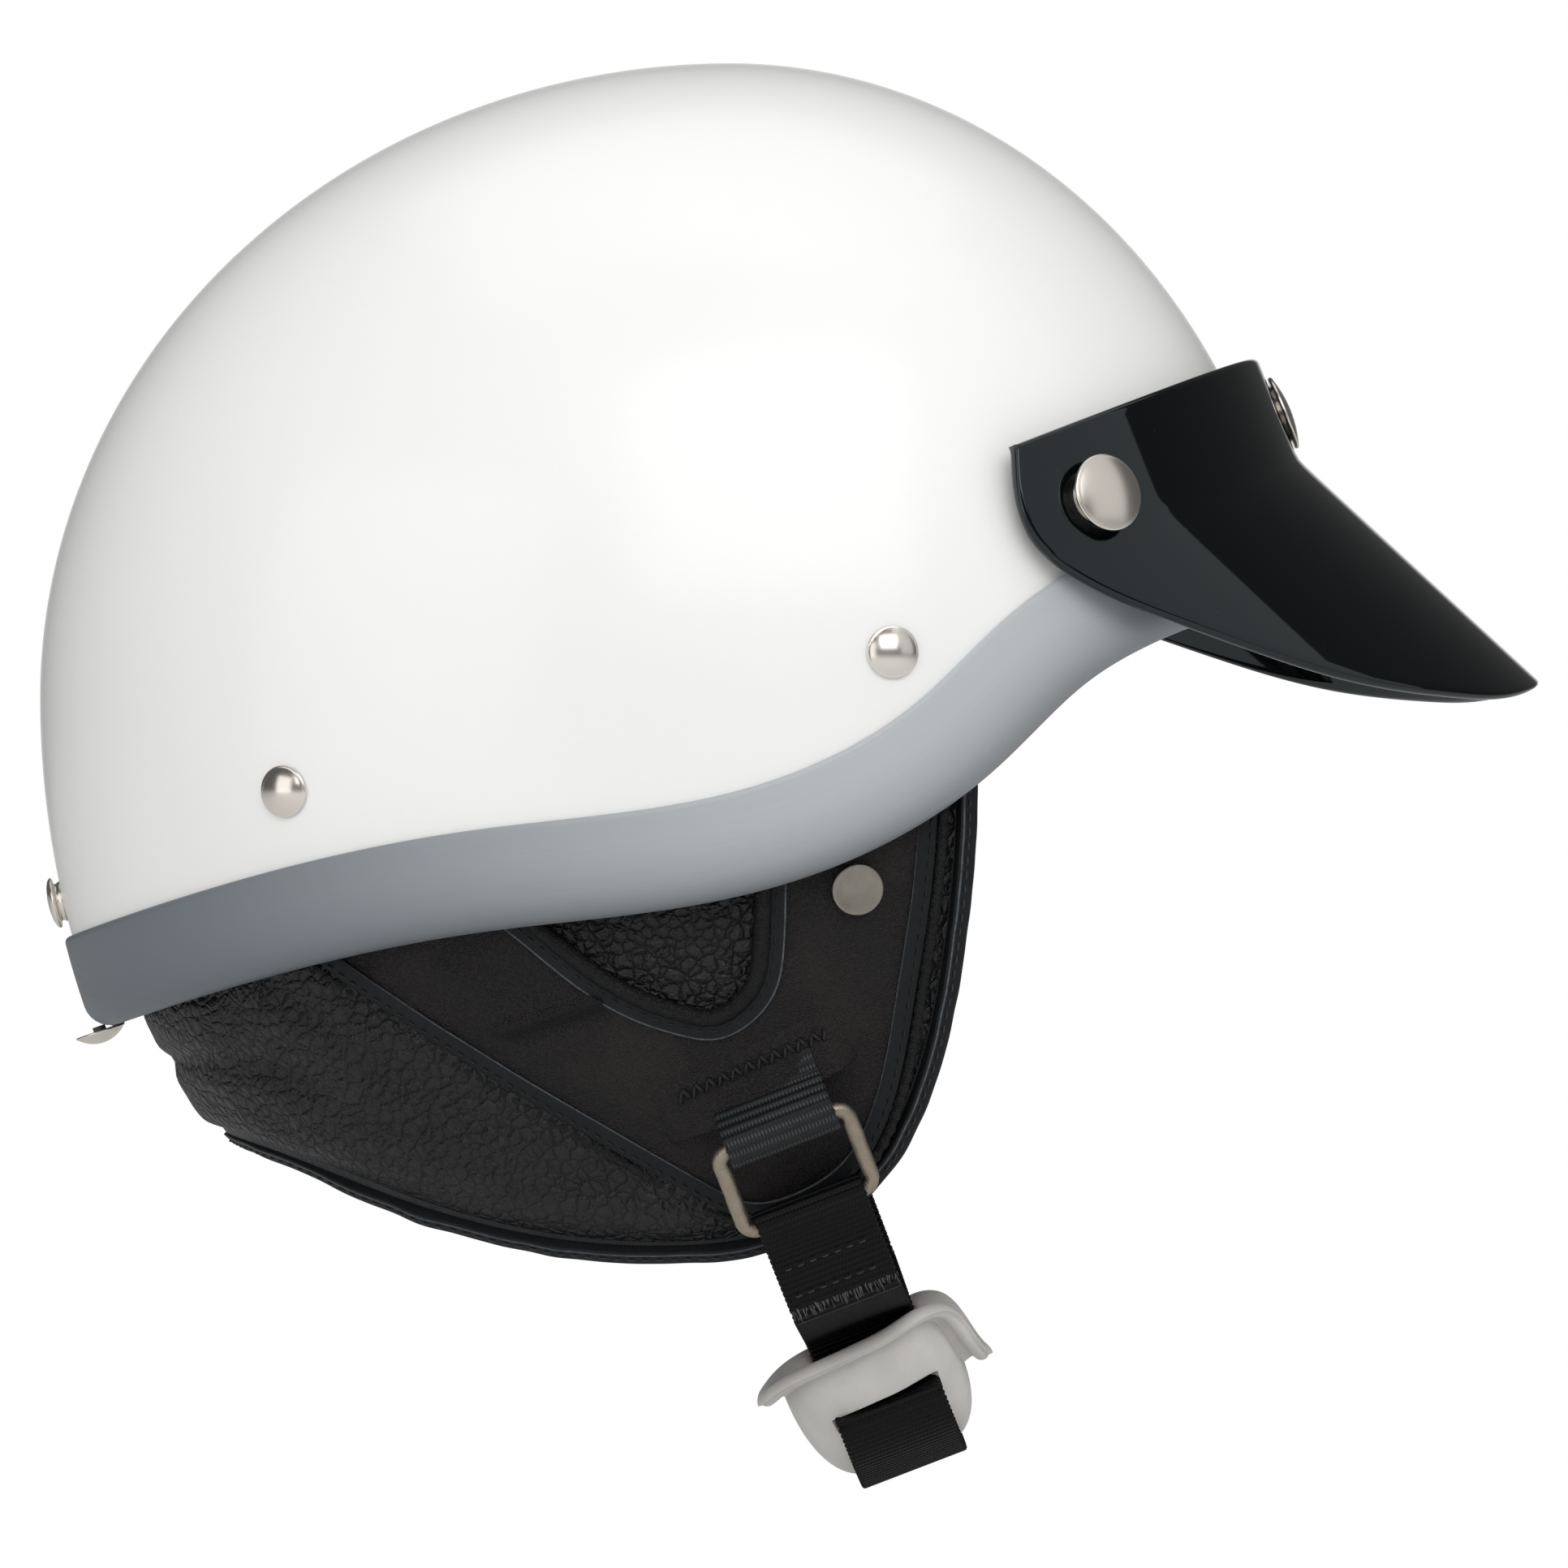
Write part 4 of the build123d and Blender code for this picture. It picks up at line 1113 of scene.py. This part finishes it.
def chin_webbing():
    """The strap from tail to tail, the two rows of stitches that close each fold, its frayed ends and
    the snap on the left tail."""
    half = fold_points() + slot_points() + [cup_corner(1.5 * wrap_turn), cup_corner(2.5 * wrap_turn)]
    radii = [fold_radius] * 5 + [7.0, 2.5, webbing_thickness, webbing_thickness] + [cup_depth] * 2
    corners = half + [point * (-1, 1) for point in half[::-1]]
    path = filleted(corners, radii + radii[::-1], strap_rib / 6)
    run = webbing_run(path, strap_rib)
    add("chin_webbing", [run], strap_finish, "chin_strap", "chin_strap")
    face = webbing_thickness + fold_gap / 2
    rows, fibres, count = [], [], 90
    x = np.linspace(-webbing_width / 2 + 1, webbing_width / 2 - 1, 30)
    for drop in fold_stitch_drops:
        for mirror in (1, -1):
            line = chin_place(on_strap(x, ring_bar + fold_down * drop + fold_out * face, mirror))
            rows.append(stitch_row(line, tilted(on_strap(0 * x, fold_out, mirror), chin_tilt), *strap_stitch))
    add("strap_stitches", rows, worn_thread, body="chin_strap")
    random = np.random.default_rng(61)
    x = np.linspace(-webbing_width / 2, webbing_width / 2, count)
    for mirror in (1, -1):
        start = ring_bar + fold_down * (tail_length - 0.4) + fold_out * random.uniform(0.3, 1.7, (count, 1))
        tip = start + fold_down * random.uniform(1.2, 4.0, (count, 1))
        tip = tip + fold_out * random.uniform(-0.2, 0.9, (count, 1))
        ends = on_strap(x + random.uniform(-0.8, 0.8, count), tip, mirror)
        fibres.append(threads(chin_place(on_strap(x, start, mirror)), chin_place(ends), 0.1))
    add("frayed_ends", fibres, frayed_thread, body="chin_strap")
    seat = ring_bar + fold_down * (tail_length * 0.71) + fold_out * (face + 0.2)
    axis = tilted(on_strap(0.0, fold_out, -1), chin_tilt)
    head = turned(domed_head(*strap_head), chin_place(on_strap(0.0, seat, -1)), axis, 72)
    add("strap_snap_head", [head], old_nickel, "strap_snap", "chin_strap")


def rings_and_loops():
    """On each side the cast ring and the webbing loop that holds it."""
    half = webbing_width / 2 + ring_side_play + ring_wire_radius
    length = np.hypot(ring_height, ring_top_out - ring_bottom_out)
    corners = [(-half, 0.0), (half, 0.0), (half, -length), (-half, -length)]
    flat = rounded_loop(corners, [ring_corner_radius] * 4, 8)
    flat = spaced(np.concatenate([flat, flat[1:2]]), 200)
    section = circle(16) * ring_wire_radius
    near, far = -ring_top_out + fold_wrap, -ring_top_out - fold_wrap
    way = np.array([(-88.6, 21.0), (-90.5, 15.0), (-90.2, 9.2), (far, 2.6), (far, -fold_wrap),
                    (near, -fold_wrap), (-86.4, 9.5)])
    for side, facing in SIDES:
        lean = np.array([0.0, facing * np.sin(ring_lean), np.cos(ring_lean)])
        out = np.array([0.0, facing * np.cos(ring_lean), -np.sin(ring_lean)])
        path = flat[:, :1] * (1.0, 0.0, 0.0) + flat[:, 1:] * lean + (0.0, facing * ring_top_out, 0.0)
        points, faces, uv = carried(section, path, np.tile(out, (len(path), 1)), capped=False)
        worn = ripples(points, 5.0, 51)[:, None] * 0.05
        points = chin_place(points + unit(points - np.repeat(path, len(section), 0)) * worn)
        ring = f"{side}_ring"
        add(f"{side}_cast_ring", [(points, faces, uv)], cast_nickel, ring, ring)
        path = filleted(way * (-facing, 1), [6.0, 4.0, 6.0, fold_radius, fold_radius], loop_rib / 8)
        run = webbing_run(path, loop_rib, 0.17)
        add(f"{side}_webbing_loop", [run], loop_finish, f"{side}_anchor_loop")


def chin_bowl():
    """The cup: a bowl with full sides and a wavy flange that curls at its front, thin as a sheet and
    then thickened, with a slot for the strap in each side."""
    turn, share = np.linspace(0, 2 * np.pi, 241)[:, None], np.linspace(0, 1, 90)[None]
    body, curl = np.clip(share / 0.8, 0, 1) * np.pi / 2, np.clip((share - 0.8) / 0.2, 0, 1)
    from_front = np.degrees(np.minimum(turn, 2 * np.pi - turn))
    lip = np.interp(from_front, *smooth_line(np.stack([lip_turns, lip_heights], -1), 200).T) - 0.4
    bottom = -cup_drop - cup_depth
    flare = 1.2 * np.exp(-((from_front / 24) ** 2)) + 0.8 * np.exp(-(((from_front - 180) / 40) ** 2))
    grow = (cup_flange + flare) * np.sin(curl * np.pi / 2)
    reach = cup_half_length - 1.6 - 2.8 * np.clip(np.cos(turn), 0, 1) ** 2
    ahead, aside = (np.sign(way) * abs(way) ** cup_squareness for way in (np.cos(turn), np.sin(turn)))
    x = (reach * np.sin(body) ** wall_steepness + grow) * ahead
    y = ((cup_half_width - 0.4) * np.sin(body) + grow) * aside
    z = bottom + (lip - bottom) * (1 - np.cos(body)) + 1.1 * np.sin(curl * np.pi * 0.8) - flare * curl**2
    points = np.stack([x, y, z], -1)
    edge = np.concatenate([points[:, -1], points[1:2, -1]]) + (0.0, 0.0, 0.9)
    bead, faces, uv = carried(circle(16) * bead_radius, edge, np.tile((0.0, 0.0, 1.0), (len(edge), 1)))
    add("chin_cup_bead", [(chin_place(bead), faces, uv)], cup_finish, body="chin_strap")
    slot = (abs(np.cos(turn)) < 0.58) & (share > 0.51) & (share < 0.605)
    points, faces, uv = grid(points)
    sheet = chin_place(points), faces[~slot.reshape(-1)[faces].all(1)], uv
    middle = chin_place(np.array([0, 0, -cup_drop]))
    cup = add("chin_bowl", [sheet], cup_finish, "chin_cup", "chin_strap", middle)
    thicken(cup, cup_wall * 0.95)
    bevel = cup.modifiers.new("edge", "BEVEL")
    bevel.width, bevel.segments, bevel.limit_method = 0.9 * millimetre, 4, "ANGLE"


# Inside

def quilted_lining():
    """The cloth lining: a dome whose face swells between diagonal rows of stitches, with a roll
    under the liner's edge."""
    line = side_line(rim_shares, -liner_lift + 1.4)
    inner = dome(lining_inset + lining_thickness, line, 140)
    turn = np.arctan2(inner[..., 1] / half_width, inner[..., 0] / rear_reach)
    down = np.linspace(0, 1, 140) * 9.0 * np.pi
    quilt = abs(np.sin(down + turn * 8)) * abs(np.sin(down - turn * 8))
    inner = inner - outward(inner) * (np.sqrt(quilt) * 1.3 - 0.3)[..., None]
    rows = np.concatenate([dome(lining_inset + 0.2, line, 140), inner[:, ::-1]], 1)
    add("quilted_lining", [grid(rows)], cloth_finish, "lining")
    inset = lining_inset + 3.4
    section = [(inset, 0.4), (inset, -1.4), (22.0, -1.7), (16.0, -1.5), (15.6, 0.2), (inset, 0.4)]
    columns = [round_rim(full_turn, liner_lift + up, inset) for inset, up in section]
    add("lining_lip", [grid(np.stack(columns, 1))], cloth_finish)


def head_band():
    """The leather sweatband: a soft band with a rolled lower edge and a row of stitches."""
    heights = np.linspace(-sweatband_drop, sweatband_height, 24)
    swell = np.sin(np.linspace(0, np.pi, 24)) ** 0.5
    inset = sweatband_inset + sweatband_thickness
    face = [round_rim(full_turn, up, inset - 1.6 + 1.6 * swollen) for up, swollen in zip(heights, swell)]
    back = [round_rim(full_turn, up, sweatband_inset) for up in heights]
    grids = [wrapped(np.stack(face, 1), np.stack(back, 1))]
    add("head_band", grids, plain_leather, "sweatband")
    row = round_rim(full_turn, sweatband_height - 3.0, inset - 0.6)
    add("band_stitches", [stitch_row(row, -outward(row), *band_stitch)], black_thread)


def dress_nodes():
    """Finishes for the nodes whose shape stays: the foam, the hidden webbing and the snap studs."""
    kept = {"impact_liner": foam_finish, "snap_studs": bright_nickel,
            "right_hanger": strap_finish, "left_hanger": strap_finish}
    for name, finish in kept.items():
        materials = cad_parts[name].data.materials
        materials.clear()
        materials.append(finish)


# Camera, lights and floor, in metres

focal_length, camera_distance, camera_target = 241.7, 2.4, (0.0122, 0.0, -0.0196)
floor_reach, floor_gap = 6.0, 0.12
# Soft boxes: name, both sizes, power, place and the point that each lights
soft_boxes = (
    ("key", (1.7, 1.4), 16.0, (0.35, -1.7, 1.15), (0.0, 0.0, -0.02)),
    ("rear", (1.6, 1.8), 9.5, (-1.45, -1.4, 0.25), (0.0, 0.0, 0.0)),
    ("top", (1.8, 1.4), 5.4, (0.0, 0.1, 1.6), (0.0, 0.0, 0.0)),
    ("side", (1.2, 2.0), 3.8, (1.25, -0.62, 0.85), (0.0, 0.0, 0.0)),
)


def stand(name, data, spot, target):
    """Puts a camera or a lamp at its spot and turns it to look at a point."""
    item = bpy.data.objects.new(name, data)
    bpy.context.scene.collection.objects.link(item)
    item.location = spot
    item.rotation_euler = (Vector(target) - item.location).to_track_quat("-Z", "Y").to_euler()
    return item


def studio():
    """The camera at the photograph's angle, soft boxes, a pale floor and a white surround."""
    scene = bpy.context.scene
    scene.view_settings.view_transform = "Standard"
    lens = bpy.data.cameras.new("camera")
    lens.sensor_width, lens.lens = 36.0, focal_length
    x, y, z = camera_target
    scene.camera = stand("camera", lens, (x, y - camera_distance, z), camera_target)
    for name, size, power, spot, target in soft_boxes:
        light = bpy.data.lights.new(name, "AREA")
        light.shape, light.energy = "RECTANGLE", power
        light.size, light.size_y = size
        stand(name, light, spot, target)
    world = bpy.data.worlds.new("surround")
    world.use_nodes = True
    scene.world = world
    light_surround(world)
    floor_mesh = bpy.data.meshes.new("floor")
    corners = [(x * floor_reach, y * floor_reach, cad_box[0].z - floor_gap)
               for x, y in ((-1, -1), (1, -1), (1, 1), (-1, 1))]
    floor_mesh.from_pydata(corners, [], [(0, 1, 2, 3)])
    floor = bpy.data.objects.new("floor", floor_mesh)
    scene.collection.objects.link(floor)
    floor.data.materials.append(floor_finish())


def light_surround(world):
    """White to the camera and an even light on the object. Reflections see it dim in front of the
    object and paler behind it."""
    f = Surround(world)
    seen = f.node("LightPath", output="Is Camera Ray")
    glossy = seen.beside("Is Glossy Ray")
    way = f.node("TexCoord", output="Generated")
    behind = f.node("SeparateXYZ", {"Vector": way}, "Y").between(0.95, 1.0)
    unseen = glossy * (0.09 + behind * 0.91) + (1 - glossy) * 0.46
    f.feed("Strength", seen + (1 - seen) * unseen)
    f.feed("Color", (1.0, 1.0, 1.0, 1.0))


def floor_finish():
    """Pale matt floor that turns to plain white away from the object."""
    f = Finish("pale_floor", Roughness=0.9, Base_Color=(0.74, 0.74, 0.74, 1.0))
    away = f.node("VectorMath", {0: f.node("TexCoord", output="Object")}, "Value", operation="LENGTH")
    glow = f.node("Emission", {"Color": (1.0, 1.0, 1.0, 1.0), "Strength": 1.0})
    seen = f.node("LightPath", output="Is Camera Ray")
    mix = f.node("MixShader", {0: away.between(0.25, 0.7) * seen, 2: glow})
    f.tree.links.new(f.surface.outputs[0], mix.socket.node.inputs[1])
    f.tree.links.new(mix.socket, f.tree.nodes["Material Output"].inputs["Surface"])
    return f.material


shell_skin()
rim_trim()
fittings()
peak_visor()
peak_snaps()
neck_pad()
curtain_core()
curtain_hem()
for side_name, side_facing in SIDES:
    smooth_panel(side_name, side_facing)
    for sewn in sewn_edges:
        sewn_edge(side_name, side_facing, *sewn)
    window_pad(side_name, side_facing)
for side_name, side_facing in SIDES:
    slit_and_zigzag(side_name, side_facing)
chin_webbing()
rings_and_loops()
chin_bowl()
quilted_lining()
head_band()
dress_nodes()
studio()
